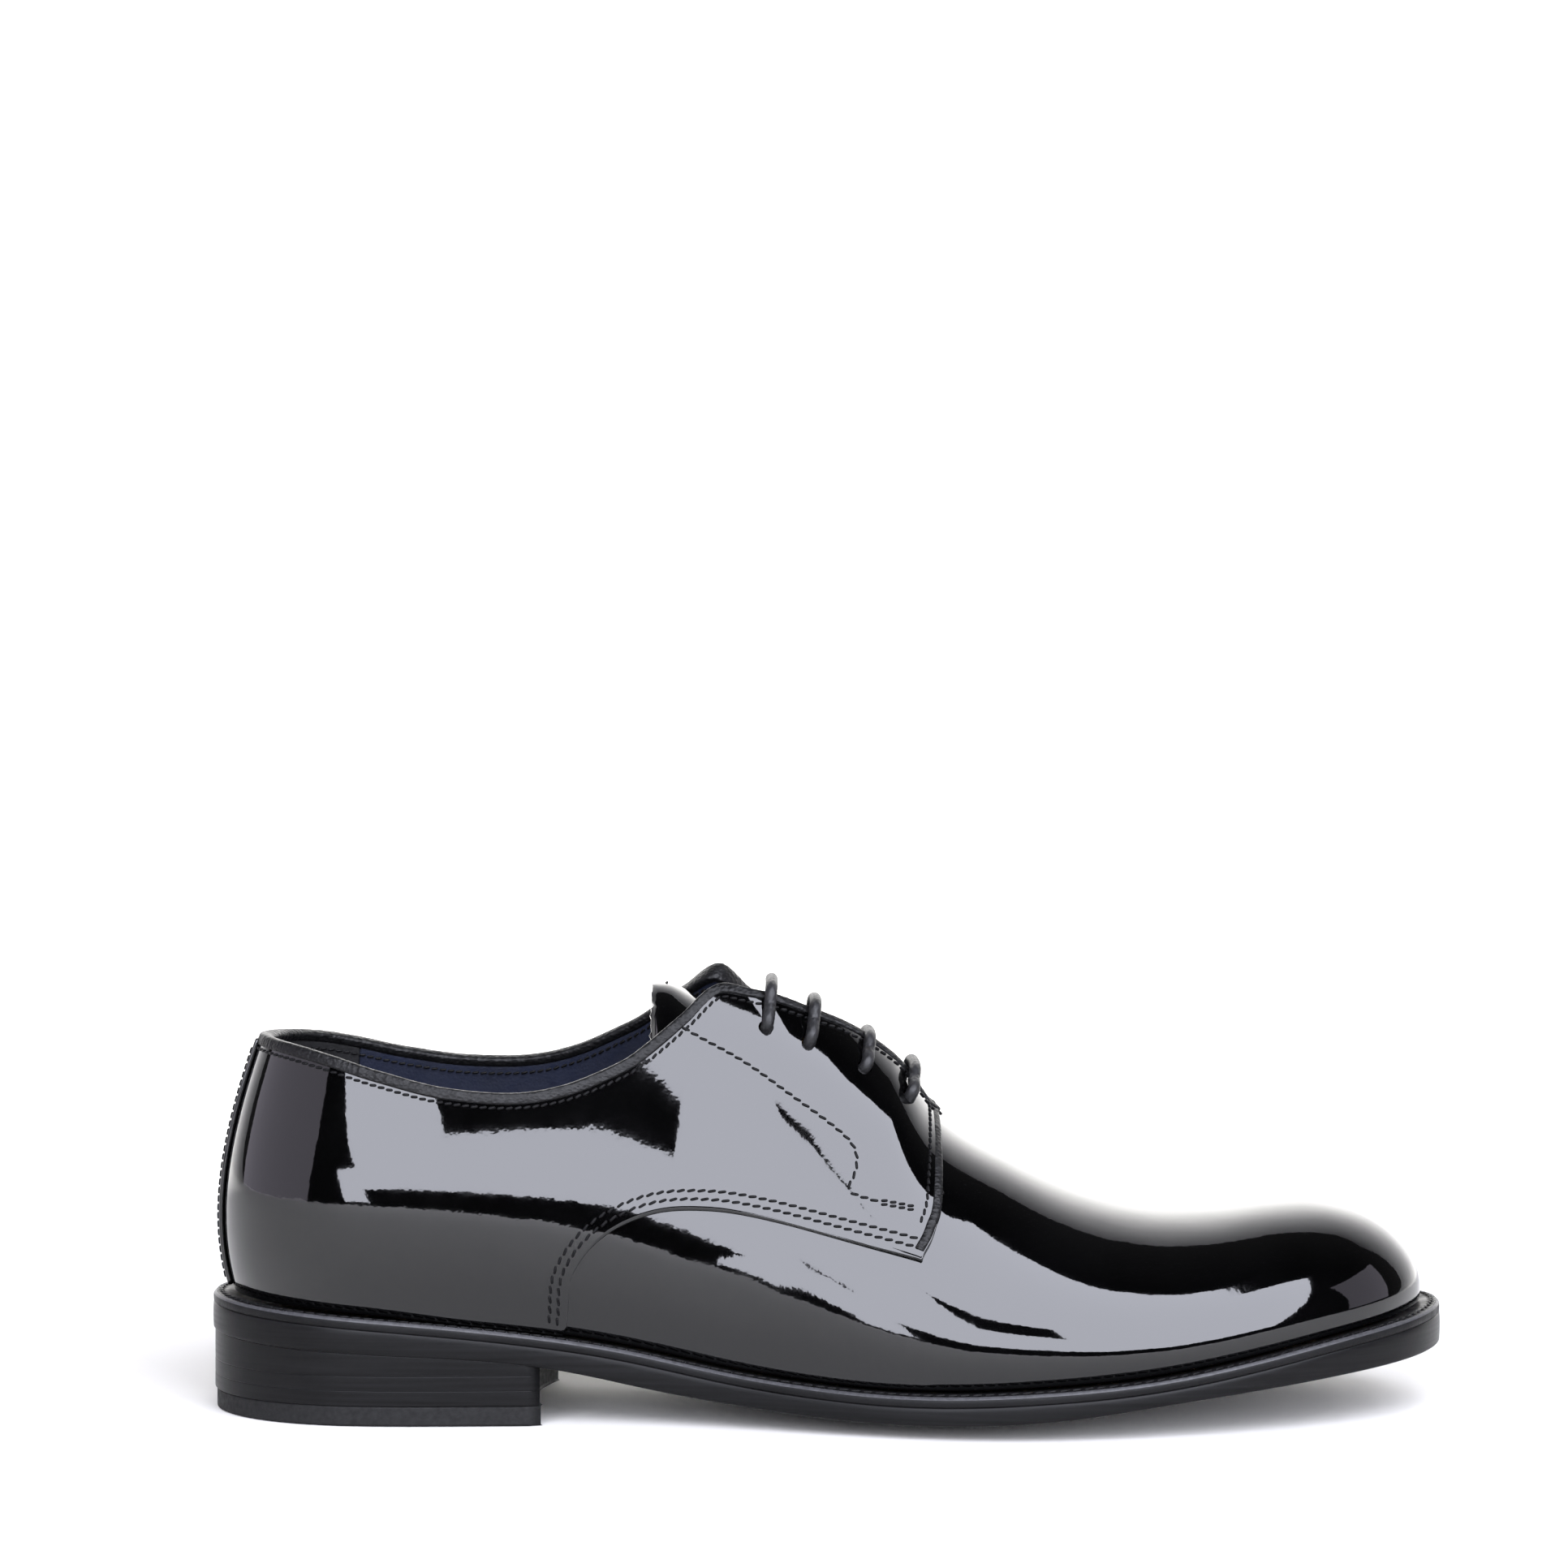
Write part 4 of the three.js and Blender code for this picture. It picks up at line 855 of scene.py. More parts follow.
# The lace's middle line, point for point as in the CAD model.
LACE_ROUTE = [
    # first tail: along the sock, up the lateral wall, under the facing
    (-108, -14.5, 31.8), (-98, -14.8, 30.9), (-88, -15, 30), (-78, -15.1, 28.9), (-68, -15.1, 27.6),
    (-58, -15, 26.2), (-50, -15.2, 24.9), (-43.5, -17, 23.8), (-39, -20.8, 25.2), (-36.6, -24.6, 30.2),
    (-35.8, -25.8, 38), (-35.3, -25.2, 47.5), (-34.8, -23.4, 58.5), (-34, -20.8, 70), (-32.4, -17.8, 80),
    (-28.5, -16.4, 87), (-22, -16.2, 90.4),
    # row 4, lateral to medial
    (-16.6, -17.2, 91.4), (-15.1, -23.8, 95.5), (-14.5, -21.2, 99.8), (-14.1, -17.8, 104.3),
    (-14.2, 1.9, 104.8), (-14.3, 21.4, 101.3), (-14.6, 24.4, 96.3), (-15.1, 26.4, 91.9), (-16.6, 19, 88.3),
    # inside, down to row 2
    (-11.7, 19.8, 83.9), (-7.1, 19.9, 79.1), (-0.6, 20.6, 78),
    # row 2, medial to lateral
    (5.6, 19.6, 76.8), (8.1, 25.7, 81.1), (8.7, 22.7, 85.2), (9.3, 19.2, 89), (9.6, 2.7, 91.9),
    (9.9, -13.8, 91.8), (9.5, -18, 88.7), (8.9, -21.9, 85.5), (5.5, -17.1, 80.2),
    # inside, down to row 1
    (10.9, -17, 76.7),
    # row 1, lateral to medial
    (16.1, -16.4, 73.1), (20.1, -20.2, 78.8), (20.6, -15.8, 81.4), (21, -11.4, 83.9), (20.7, 3.1, 84.5),
    (20.5, 17.6, 81.9), (19.9, 21.4, 78.6), (19.3, 25.1, 75), (16.3, 19.6, 70.1),
    # inside, up to row 3
    (10.8, 17.8, 75.9), (5.7, 16.9, 80), (-0.8, 18.5, 82.1),
    # row 3, medial to lateral
    (-6.9, 19.5, 83.9), (-4.9, 26.2, 87.7), (-4.4, 23.7, 92), (-4, 20.7, 96.6), (-3.7, 2.2, 99.9),
    (-3.4, -16.2, 100), (-3.9, -20, 95.8), (-4.6, -23.2, 91.9), (-7, -17.3, 87.2),
    # second tail: under the facing, down the lateral wall, along the sock
    (-11.6, -14.9, 91.2), (-16.5, -13.6, 95.6), (-21, -13.4, 96.2), (-26, -14, 93.6), (-30.5, -14.8, 90.8),
    (-35, -16.4, 84.5), (-37.4, -19.4, 75), (-38.8, -22.2, 64), (-39.5, -24.4, 52.5),
    (-40.2, -25.4, 42), (-42, -25.2, 33), (-45, -22.8, 26.9), (-50, -19.6, 25), (-58, -18.8, 26.2),
    (-68, -18.9, 27.6), (-78, -19, 28.9), (-88, -18.9, 30), (-95, -18.7, 30.7),
]
LACE_ANGLES = np.linspace(0, 2 * math.pi, 24, endpoint=False)
BRAID_STEP = 0.42  # along the lace, between rings
BRAID_PITCH = 2.4
BRAID_STRANDS = 6
BRAID_RELIEF = 0.11
AGLET_RADIUS = 1.35
# (distance along the aglet, share of its radius), with a groove a third of the way
AGLET_PROFILE = [
    (0, 0.4), (0, 0.9), (0.25, 1), (6, 1), (6.3, 0.94), (6.6, 1), (17, 1), (17.7, 0.85), (18, 0.4),
]


def carried_frames(points):
    """Two directions across a polyline at each point, carried along it without twist."""
    along = unit(np.gradient(points, axis=0))
    side = unit(np.cross(along[0], (0, 0, 1)))
    across = []
    for direction in along:
        side = unit(side - (side @ direction) * direction)
        across.append((side, np.cross(direction, side)))
    across = np.array(across)
    return across[:, 0], across[:, 1]


def circle(first, second):
    """Directions round a circle that lies in the plane of two directions."""
    return np.cos(LACE_ANGLES)[:, None] * first + np.sin(LACE_ANGLES)[:, None] * second


def braided_cord(route, at):
    """The cord's surface: two sets of strands that wind opposite ways and cross."""
    advance = 2 * math.pi * at[:, None] / BRAID_PITCH
    across = BRAID_STRANDS * LACE_ANGLES
    strands = np.maximum(np.cos(across + advance), np.cos(across - advance))
    radius = (LACE_DIAMETER / 2 + BRAID_RELIEF * (strands - 1))[..., None]
    first, second = carried_frames(route)
    return loft("lace_cord", route[:, None] + radius * circle(first[:, None], second[:, None]))


def add_aglet(number, end, before):
    away = unit(end - before)
    side = unit(np.cross(away, (0, 0, 1)))
    rim = circle(side, np.cross(away, side))
    sections = [end + away * (GAP + along) + rim * AGLET_RADIUS * wide for along, wide in AGLET_PROFILE]
    mesh = loft(f"lace_tip_{number}", np.array(sections))
    return add_piece(mesh, PLASTIC, [f"lace_aglet_{number}"])


def add_lace():
    rounded = flowing(LACE_ROUTE, (len(LACE_ROUTE) - 1) * 8 + 1)
    route, at = resampled(rounded, BRAID_STEP)
    lace = add_piece(braided_cord(route, at), CORD, ["lace"])
    aglets = [add_aglet(1, route[0], route[12]), add_aglet(2, route[-1], route[-13])]


add_lace()

# ---- the bottom ----
WELT_COLUMNS = 1800
NOTCH_PITCH = 2.9
NOTCH_DEPTH = 0.32
NOTCH_INSET = 2.1
HIGHLIGHT_BAND_TOP = 0.15  # top of the painted highlight band on the welt's bevel, below the welt's top
HIGHLIGHT_BAND_BOTTOM = 0.87
SOLE_ROUND = 0.5  # radius of the outsole's lower edge
SOLE_SIDE_TOP = 0.45
HEEL_MIDDLE = (-108, 1)
HEEL_CORNER_SETBACK = 1.6
HEEL_CORNER_TURN = 0.03
HEEL_CORNER_ROUND = 0.9
TOP_PIECE_INSET = 0.9
LIFT_INSET = 0.4
SOCK_INSET = 13.2


def round_outline(count):
    """Turns of points spaced evenly round the plan outline, and the distance along it to each."""
    turn = np.linspace(-math.pi, math.pi, 4001)
    points = np.stack(outline_at(turn, 0), 1)
    length = np.concatenate([[0], np.cumsum(np.linalg.norm(np.diff(points, axis=0), axis=1))])
    at = np.linspace(0, length[-1], count, endpoint=False)
    return np.interp(at, length, turn), at, length[-1]


def stacked_rings(turn, profile):
    """Rings round the outline. A profile row is (inset, function of x giving z, share of the way inwards
    to the shoe's middle line, which is 0 where it is left out)."""
    rings = []
    for inset, height, *inwards in profile:
        x, y = outline_at(turn, inset)
        rings.append(np.stack([x, y + (centre_y(x) - y) * sum(inwards), height(x)], -1))
    return np.stack(rings, 1)


def plate(name, turn, profile):
    """A body round the outline, whose profile starts and ends on the middle line."""
    rings = stacked_rings(turn, profile)
    stations, count = rings.shape[:2]
    index = np.arange(stations * count).reshape(stations, count)
    return finished_mesh(name, rings.reshape(-1, 3), grid_faces(index, wrap=True))


def under_welt(x):
    return welt_top(x) - WELT_THICKNESS


def paint_bevel_highlight(mesh):
    """Paints a highlight on the small bevel round the welt's rim: its upward-slanted faces get a paler
    material that stands in for light.
    """
    mesh.materials.append(WELT_BEVEL_HIGHLIGHT)
    for face in mesh.polygons:
        x, _, z = np.array(face.center) / MM
        drop = float(welt_top(x)) - z
        # Faces in the bevel band that slant upwards get the painted highlight.
        face.material_index = int(HIGHLIGHT_BAND_TOP < drop < HIGHLIGHT_BAND_BOTTOM and 0.3 < face.normal.z < 0.9)


def add_welt():
    turn, at, around = round_outline(WELT_COLUMNS)
    notches = round(around / NOTCH_PITCH)
    wave = np.abs(np.sin(math.pi * at / around * notches)) ** 0.7

    def top(drop, wheeled=0.0):
        return lambda x: welt_top(x) - drop - NOTCH_DEPTH * wheeled * (1 - wave)

    profile = [
        (0.15, under_welt), (0.03, top(2.3)), (0, top(1.6)), (0.02, top(1.1)), (0.12, top(0.85)),
        (0.75, top(0.2)), (0.95, top(0.1)), (1.2, top(0.12, 0.6)), (1.6, top(0.1, 1)), (2.6, top(0.1, 1)),
        (3, top(0.06, 0.6)), (3.3, top(0.04)), (4.2, top(0.12)), (5.2, top(0.25)), (12.5, top(0.3)),
        (12.5, under_welt),
    ]
    mesh = loft("welt_strip", stacked_rings(turn, profile), closed=True)
    add_piece(mesh, SOLE_UNDERSIDE, ["welt"])
    paint_bevel_highlight(mesh)
    x, y = outline_at(turn, NOTCH_INSET)
    line = np.stack([x, y, welt_top(x) - 0.18], 1)
    line = np.concatenate([line, line[:1]])
    up = np.tile((0.0, 0.0, 1.0), (len(line), 1))
    mesh = stitch_mesh("welt_stitches", [(line, up, around / notches)], radius=0.36, fill=0.86)
    add_piece(mesh, THREAD)


def outsole_top(drop):
    return lambda x: welt_top(x) - (WELT_THICKNESS + 0.02) - drop


def outsole_side(share):
    """Height of the outsole's side, this share of the way down it."""
    top = outsole_top(SOLE_SIDE_TOP)
    return lambda x: top(x) * (1 - share) + (sole_edge_bottom(x) + SOLE_ROUND) * share


def outsole_corner(angle):
    return lambda x: sole_edge_bottom(x) + SOLE_ROUND - SOLE_ROUND * math.sin(angle)


def outsole_underside(share):
    """Height of the underside, this share of the way from its edge to its middle."""
    return lambda x: np.maximum(0, sole_edge_bottom(x) - sole_crown(x) * (1 - (1 - share) ** 2))


def add_outsole():
    turn, _, _ = round_outline(720)
    profile = [(0, outsole_top(0), 1), (9, outsole_top(0)), (0.5, outsole_top(0)), (0.12, outsole_top(0.15))]
    for share in (0, 0.2, 0.4, 0.6, 0.8, 1):
        profile.append((-0.1 * math.sin(math.pi * share), outsole_side(share)))
    for angle in np.radians((25, 50, 75)):
        profile.append((SOLE_ROUND * (1 - math.cos(angle)), outsole_corner(angle)))
    for share in (0.02, 0.06, 0.14, 0.25, 0.4, 0.6, 0.8, 1):
        profile.append((SOLE_ROUND + 0.1, outsole_underside(share), share))
    mesh = plate("outsole_body", turn, profile)
    add_piece(mesh, SOLE_EDGE, ["outsole"])
    mesh.materials.append(SOLE_UNDERSIDE)
    for face in mesh.polygons:
        face.material_index = int(face.normal.z < -0.75)


def heel_outline(inset, count=90):
    """The closed outline of the heel: round the back, then across the hollow front."""
    front = math.acos(-(HEEL_BREAST_X - HEEL_CORNER_SETBACK) / (SHOE_LENGTH / 2))
    turn = np.linspace(-front, front, count)
    x, y = outline_at(turn, inset)
    corner = np.clip(np.abs(turn) - (front - HEEL_CORNER_TURN), 0, HEEL_CORNER_TURN) / HEEL_CORNER_TURN
    y = y - np.sign(y - centre_y(x)) * HEEL_CORNER_ROUND * corner**2
    t = np.linspace(1, 0, 26)[1:-1]
    across_x = x[0] - HEEL_BREAST_HOLLOW * 4 * t * (1 - t) - 0.4 * np.sin(math.pi * t) ** 0.3
    across_y = y[0] + (y[-1] - y[0]) * t
    return np.concatenate([x, across_x]), np.concatenate([y, across_y])


def level_at(z):
    return lambda x: 0 * x + z


def heel_layer(name, inset, bottom, top, edge=0.02):
    """One layer of the heel: a plate with softened edges; bottom and top give z from x."""

    def ring(extra, share, spread=1.0):
        x, y = heel_outline(inset + extra)
        x = HEEL_MIDDLE[0] + (x - HEEL_MIDDLE[0]) * spread
        y = HEEL_MIDDLE[1] + (y - HEEL_MIDDLE[1]) * spread
        return np.stack([x, y, bottom(x) + (top(x) - bottom(x)) * share], -1)

    levels = [(edge, 1), (0.02, 0.96), (0, 0.85), (0, 0.5), (0, 0.15), (0.02, 0.04), (edge, 0)]
    rings = [ring(1, 1, 0.02)] + [ring(*level) for level in levels] + [ring(1, 0, 0.02)]
    return loft(name, np.array(rings))


def add_heel():
    level = TOP_PIECE_THICKNESS
    mesh = heel_layer("rubber_top_piece", TOP_PIECE_INSET, level_at(0), level_at(level), 0.9)
    add_piece(mesh, RUBBER, ["heel_top_piece"])
    for i in (1, 2):
        low, level = level + 0.01, level + LIFT_THICKNESS + GAP
        mesh = heel_layer(f"stacked_lift_{i}", LIFT_INSET, level_at(low), level_at(level))
        add_piece(mesh, SOLE_EDGE, [f"heel_lift_{i}"])

    def seat_top(x):
        return np.maximum(level + 0.2, sole_edge_bottom(x) + 0.05)

    mesh = heel_layer("stacked_seat", LIFT_INSET, level_at(level + 0.01), seat_top)
    add_piece(mesh, SOLE_EDGE, ["heel_seat_wedge"])


def over_insole(height):
    return lambda x: welt_top(x) + 2 * GAP + INSOLE_THICKNESS + height


def add_sock():
    turn, _, _ = round_outline(500)
    profile = [
        (SOCK_INSET, over_insole(0), 1), (SOCK_INSET + 0.5, over_insole(0)), (SOCK_INSET, over_insole(0.3)),
        (SOCK_INSET, over_insole(0.8)), (SOCK_INSET + 0.4, over_insole(SOCK_THICKNESS)),
        (SOCK_INSET, over_insole(SOCK_THICKNESS), 1),
    ]
    add_piece(plate("sock_lining", turn, profile), NAVY, ["sock_liner"])


# ---- the upper ----
VAMP_REAR = [(-73.5, 37), (-61, 52), (-42, 59.5), (-28, 60.5), (-11, 58), (7, 54), (17, 55), (21.5, 64)]
VAMP_REAR_FEET = [-78, -66, -50, -33, -12, 8, 17, 22]
VAMP_RIDGE_END = 24
FOREFOOT_X = [34, 46, 60, 75, 90, 102, 112, 121, 129, 136, 141.5, 145.5, 147.5]
LINING_SEAM = [(-33, 26), (-26, 33), (-14, 44), (-1, 51), (10, 54), (19, 59)]
LINING_SEAM_FEET = [-34, -30, -22, -12, 4, 17]
LINING_SEAM_GAP = 2.2
LINING_FACING_X = [-19.5, -9, 1, 10, 20.3]
HOLE_RADIUS = 1.85
UNDER_BINDING = BINDING_HEIGHT - 0.8  # how far the leather's edge lies below the binding's fold
BACK_SEAM_TURN = 0.0025


def constant(value):
    return lambda places: np.full(places.shape[:-1], float(value))


def vamp_parts(rear_feet, rear_line, ridge_end, outer, inner, per_station=14, rows=60):
    parts = []
    for side in SIDES.values():
        low = [foot(side, x) for x in rear_feet] + [foot(side, ridge_end + 2)]
        high = [tuple(locate(side, x, z=z)) for x, z in rear_line] + [ridge(side, ridge_end)]
        low += [foot(side, x) for x in FOREFOOT_X]
        high += [ridge(side, x) for x in FOREFOOT_X]
        count = (len(low) - 1) * per_station + 1
        ridge_column = len(rear_feet) * per_station
        places = between_lines(flowing(low, count), flowing(high, count), rows)
        places[ridge_column:, -1, 1] = 1

        def no_rim(a, b):
            on_ridge = min(a[0], b[0]) >= ridge_column and a[1] == b[1] == rows - 1
            at_toe = a[0] == b[0] == count - 1
            return on_ridge or at_toe

        parts.append(shell_parts(places, outer, inner, no_rim))
    return parts


def add_vamp():
    parts = vamp_parts(VAMP_REAR_FEET, VAMP_REAR, VAMP_RIDGE_END, constant(0), constant(-LEATHER))
    add_piece(joined_mesh("vamp_leather", parts), PATENT, ["vamp"])
    feet = [x + LINING_SEAM_GAP for x in LINING_SEAM_FEET]
    line = [(x + LINING_SEAM_GAP, z - LINING_SEAM_GAP) for x, z in LINING_SEAM]
    parts = vamp_parts(feet, line, VAMP_RIDGE_END + 1, vamp_lining_outer, vamp_lining_inner, 8, 30)
    add_piece(joined_mesh("forepart_lining", parts), NAVY, ["vamp_lining"])


def eyelet_at(side, x):
    """An eyelet's point on the upper's surface, and its axis."""
    place = lowered(facing_edge(side, x), EYELET_FROM_EDGE)
    return upper_point(*place), upper_normal(*place)


def holes_cut(mesh, eyelets, radius):
    """The mesh with a round hole of this radius at each eyelet."""
    work = bmesh.new()
    for point, axis in eyelets:
        turn = Vector((0, 0, 1)).rotation_difference(Vector(axis)).to_matrix().to_4x4()
        turn.translation = Vector(point) * MM
        bmesh.ops.create_cone(work, cap_ends=True, segments=28, radius1=radius * MM, radius2=radius * MM,
                              depth=16 * MM, matrix=turn)
    cutter_mesh = bpy.data.meshes.new("cutter")
    work.to_mesh(cutter_mesh)
    work.free()
    cutter = bpy.data.objects.new("cutter", cutter_mesh)
    body = bpy.data.objects.new("cut_body", mesh)
    for obj in (cutter, body):
        bpy.context.scene.collection.objects.link(obj)
    cut = body.modifiers.new("holes", "BOOLEAN")
    cut.operation = "DIFFERENCE"
    cut.object = cutter
    cut.solver = "EXACT"
    bpy.context.view_layer.update()
    evaluated = body.evaluated_get(bpy.context.evaluated_depsgraph_get())
    result = bpy.data.meshes.new_from_object(evaluated)
    for obj in (cutter, body):
        bpy.data.objects.remove(obj)
    name = mesh.name
    bpy.data.meshes.remove(mesh)
    result.name = name
    result.shade_smooth()
    result.set_sharp_from_angle(angle=math.radians(50))
    return result


def quarter_lines(side):
    """The quarter's lower and upper edges. Its rear end stops just short of the back seam."""
    welt = [(side * turn, 0) for turn in REAR_TURNS]
    seam = [tuple(locate(side, x, z=z)) for x, z in FRONT_SEAM]
    high = lowered(HIGH_LINE[side], UNDER_BINDING)
    low = np.array(welt + seam)
    for line in (low, high):
        line[0, 0] = side * BACK_SEAM_TURN
    return low, high


def add_quarter(name, side):
    low, high = quarter_lines(side)
    count = (len(low) - 1) * 14 + 1
    places = between_lines(flowing(low, count), flowing(high, count), 70)
    mesh = shell(f"quarter_{name}_leather", places, quarter_outer, quarter_inner)
    eyelets = [eyelet_at(side, x) for x in EYELET_ROWS]
    mesh = holes_cut(mesh, eyelets, HOLE_RADIUS)
    add_piece(mesh, PATENT, [f"quarter_{name}"])
    add_quarter_lining(name, side, eyelets)
    add_quarter_stitching(name, side, flowing(low, count))


def add_quarter_lining(name, side, eyelets):
    rear_high = lowered(HIGH_LINE[side], UNDER_BINDING)[GRIP_END : len(REAR_TURNS) + len(COLLAR_FRONT_X)]
    facing = lowered(closed_edge(side, LINING_FACING_X), UNDER_BINDING)
    low = [(side * turn, 0) for turn in REAR_TURNS[GRIP_END:]] + [foot(side, x) for x in (-54, -46, -40)]
    low += [tuple(locate(side, x, z=z)) for x, z in LINING_SEAM]
    high = np.concatenate([rear_high, facing])
    count = (len(low) - 1) * 10 + 1
    places = between_lines(flowing(low, count), flowing(high, count), 44)
    mesh = shell(f"lining_{name}_leather", places, lining_outer, lining_inner)
    mesh = holes_cut(mesh, eyelets, HOLE_RADIUS + 0.5)
    add_piece(mesh, NAVY, [f"quarter_lining_{name}"])


# The stitching along the facing: (x, z) from the collar down to the bar tack.
FACING_ROW = [
    (-36, 94), (-32, 91.6), (-21.3, 85.4), (-10.7, 77.8), (-1.3, 71), (4, 66.6), (5.8, 63.8), (6, 60.6),
    (4.8, 57.6), (3.9, 56.2),
]
FACING_FOOT = [(4.6, 55.5), (6.2, 54.8), (10.6, 53.5), (11.4, 53.2)]
BAR_TACK = [(11.6, 53.2), (19.7, 51.6)]
SEAM_ROWS = (2.3, 4.3)  # distances from the quarter's edge
SEAM_SPAN = (0.431, 0.835)  # from the welt to the front corner, as shares of the quarter's lower edge
SEAM_PITCH = 2.5
TACK_PITCH = 2
COLLAR_PITCH = 2.1


def placed_line(side, line, count):
    x, z = flowing(line, count).T
    return locate(side, x, z=z)


def add_quarter_stitching(name, side, cut_edge):
    lines = []
    low_end, corner = (int(share * len(cut_edge)) for share in SEAM_SPAN)
    for distance in SEAM_ROWS:
        row = inset_line(cut_edge[low_end:corner], distance, -side)
        lines.append(stitch_line(row[1:], quarter_outer, SEAM_PITCH))
    for line, count in ((FACING_ROW, 120), (FACING_FOOT, 30)):
        lines.append(stitch_line(placed_line(side, line, count), quarter_outer, SEAM_PITCH))
    tack = placed_line(side, BAR_TACK, 24)
    for across in (-0.45, 0.45):
        lines.append(stitch_line(lowered(tack, across), quarter_outer, TACK_PITCH))
    below = inset_line(flowing(bound_edge(side), 600), BINDING_HEIGHT + 0.9, side)
    lines.append(stitch_line(below[22:-26], quarter_outer, COLLAR_PITCH))
    add_stitches(f"stitches_{name}", lines)


def rear_places(half_turn, columns, rows, low=0.0):
    """A grid of places round the back, up to the collar."""
    turns = np.linspace(-half_turn, half_turn, columns)
    top = []
    for turn in turns:
        side = LATERAL if turn < 0 else MEDIAL
        top.append(lowered(np.array(collar_place(side, abs(turn))), UNDER_BINDING)[1])
    t = np.linspace(0, 1, rows)
    rise = low + (np.array(top)[:, None] - low) * t
    return np.stack([np.repeat(turns[:, None], rows, 1), rise], -1)


BACKSTAY_HALF_TURN = 0.12
BACKSTAY_LIFT = 1.25
COUNTER_HALF_TURN = 1.02
COUNTER_SHARE = 0.62  # of the way up to the collar


def counter_outer(places):
    return quarter_inner(places) - 0.2


def counter_inner(places):
    return counter_outer(places) - STIFFENER


def add_backstay():
    places = rear_places(BACKSTAY_HALF_TURN, 28, 90, 0.01)
    mesh = shell("backstay_leather", places, constant(BACKSTAY_LIFT), constant(0.02))
    add_piece(mesh, PATENT, ["backstay"])
    edges = (places[2], places[-3])
    lines = [stitch_line(edge[2:-3], constant(BACKSTAY_LIFT - 0.05), COLLAR_PITCH) for edge in edges]
    add_stitches("backstay_stitches", lines)


def add_counter():
    turns = np.linspace(-COUNTER_HALF_TURN, COUNTER_HALF_TURN, 90)
    low = np.stack([turns, np.full(90, 0.02)], 1)
    high = np.stack([turns, COUNTER_SHARE * collar_rise(turns)], 1)
    mesh = shell("counter_board", between_lines(low, high, 30), counter_outer, counter_inner)
    add_piece(mesh, TAN, ["heel_counter"])


def add_heel_grip():
    places = rear_places(REAR_TURNS[GRIP_END] - 0.01, 90, 50)
    mesh = shell("heel_grip_suede", places, lining_outer, lining_inner)
    add_piece(mesh, BLACK_LINING, ["heel_grip"])


BINDING_RELIEF = 0.05
COLLAR_END_X = -30


def bound_edge(side):
    """The bound edge: the collar, the facing and the quarter's front."""
    front = [tuple(locate(side, x, z=z)) for x, z in FRONT_SEAM[:-4:-1]]
    return np.concatenate([HIGH_LINE[side], front])


def whole_edge(count):
    line = np.concatenate([bound_edge(LATERAL)[::-1], bound_edge(MEDIAL)[1:]])
    return flowing(line, count)


def add_binding():
    """The strip folded over the edge, from one quarter's front corner round the back to the other's."""
    line = whole_edge(1900)
    x = surface_x(line)
    height = BINDING_HEIGHT - 0.6 * smooth_step(-30, -16, x)
    outside, inside = quarter_outer(line), lining_inner(line)
    over_vamp = smooth_step(13, 19, x)
    inside = inside + (outside - LEATHER - 0.3 - inside) * over_vamp
    middle, half = (outside + inside) / 2, (outside - inside) / 2
    rng = np.random.default_rng(7)
    gather = np.convolve(rng.standard_normal(len(line)), np.ones(3) / 3, "same") * BINDING_RELIEF

    def point(down, offset):
        return layer_point(inset_line(line, down, 1), offset)

    sections = []
    for share, proud in ((1.02, 0.02), (1, 0.3), (0.9, 0.45), (0.66, 0.5), (0.4, 0.5)):
        sections.append(point(height * share, outside + proud + gather))
    for angle in np.radians(np.arange(0, 181, 22.5)):
        down = np.full(len(line), 0.75 - 0.75 * math.sin(angle))
        sections.append(point(down, middle + (half + 0.45 + gather) * math.cos(angle)))
    for share, proud in ((0.4, 0.42), (0.66, 0.36), (0.8, 0.2), (0.82, -0.1)):
        sections.append(point(height * share, inside - proud * (1 - 0.6 * over_vamp)))
    mesh = loft("edge_binding", np.stack(sections, 1))
    add_piece(mesh, BINDING, ["topline_binding"])
    row = lowered(line[x < COLLAR_END_X], BINDING_HEIGHT + 1.2)
    points, normals, pitch = stitch_line(row, lining_inner, COLLAR_PITCH)
    add_stitches("collar_inner_stitches", [(points, -normals, pitch)])


TONGUE_FRONT = 21.6
TONGUE_REAR = -43.5
tongue_depth = Spline([
    (-45, -10.5), (-36, -8.6), (-28, -6.6), (-20, -4.8), (-8, -3.6), (5, -3.4), (14, -3.5), (18, -3.3),
    (21.6, -2),
])
tongue_half_width = Spline([
    (-45, 16), (-42, 18.2), (-36, 19), (-28, 18), (-17, 17.2), (-8, 18.6), (8, 18.6), (16, 16.5), (21.6, 13),
])
# The free rear end: the height of its middle, and how far its sides hang below that.
tongue_top = Spline([
    (-45, 103.9), (-42, 104), (-39, 103.7), (-35, 101.8), (-30, 98.6), (-22, 93.4), (-12, 87),
])
TONGUE_SAG = 13.5
TONGUE_WIDEST = 18.6
TONGUE_CORNER = 5
TONGUE_THICKNESS = 2.3  # leather and backing


def tongue_columns(margin, columns):
    """Stations along the tongue and its half width at each, with rounded rear corners."""
    x = np.linspace(TONGUE_FRONT - margin, TONGUE_REAR + margin, columns)
    width = tongue_half_width(x) - margin
    corner = np.clip((TONGUE_REAR + margin + TONGUE_CORNER - x) / TONGUE_CORNER, 0, 1)
    return x, width - 3.2 * (1 - np.sqrt(1 - corner**2))


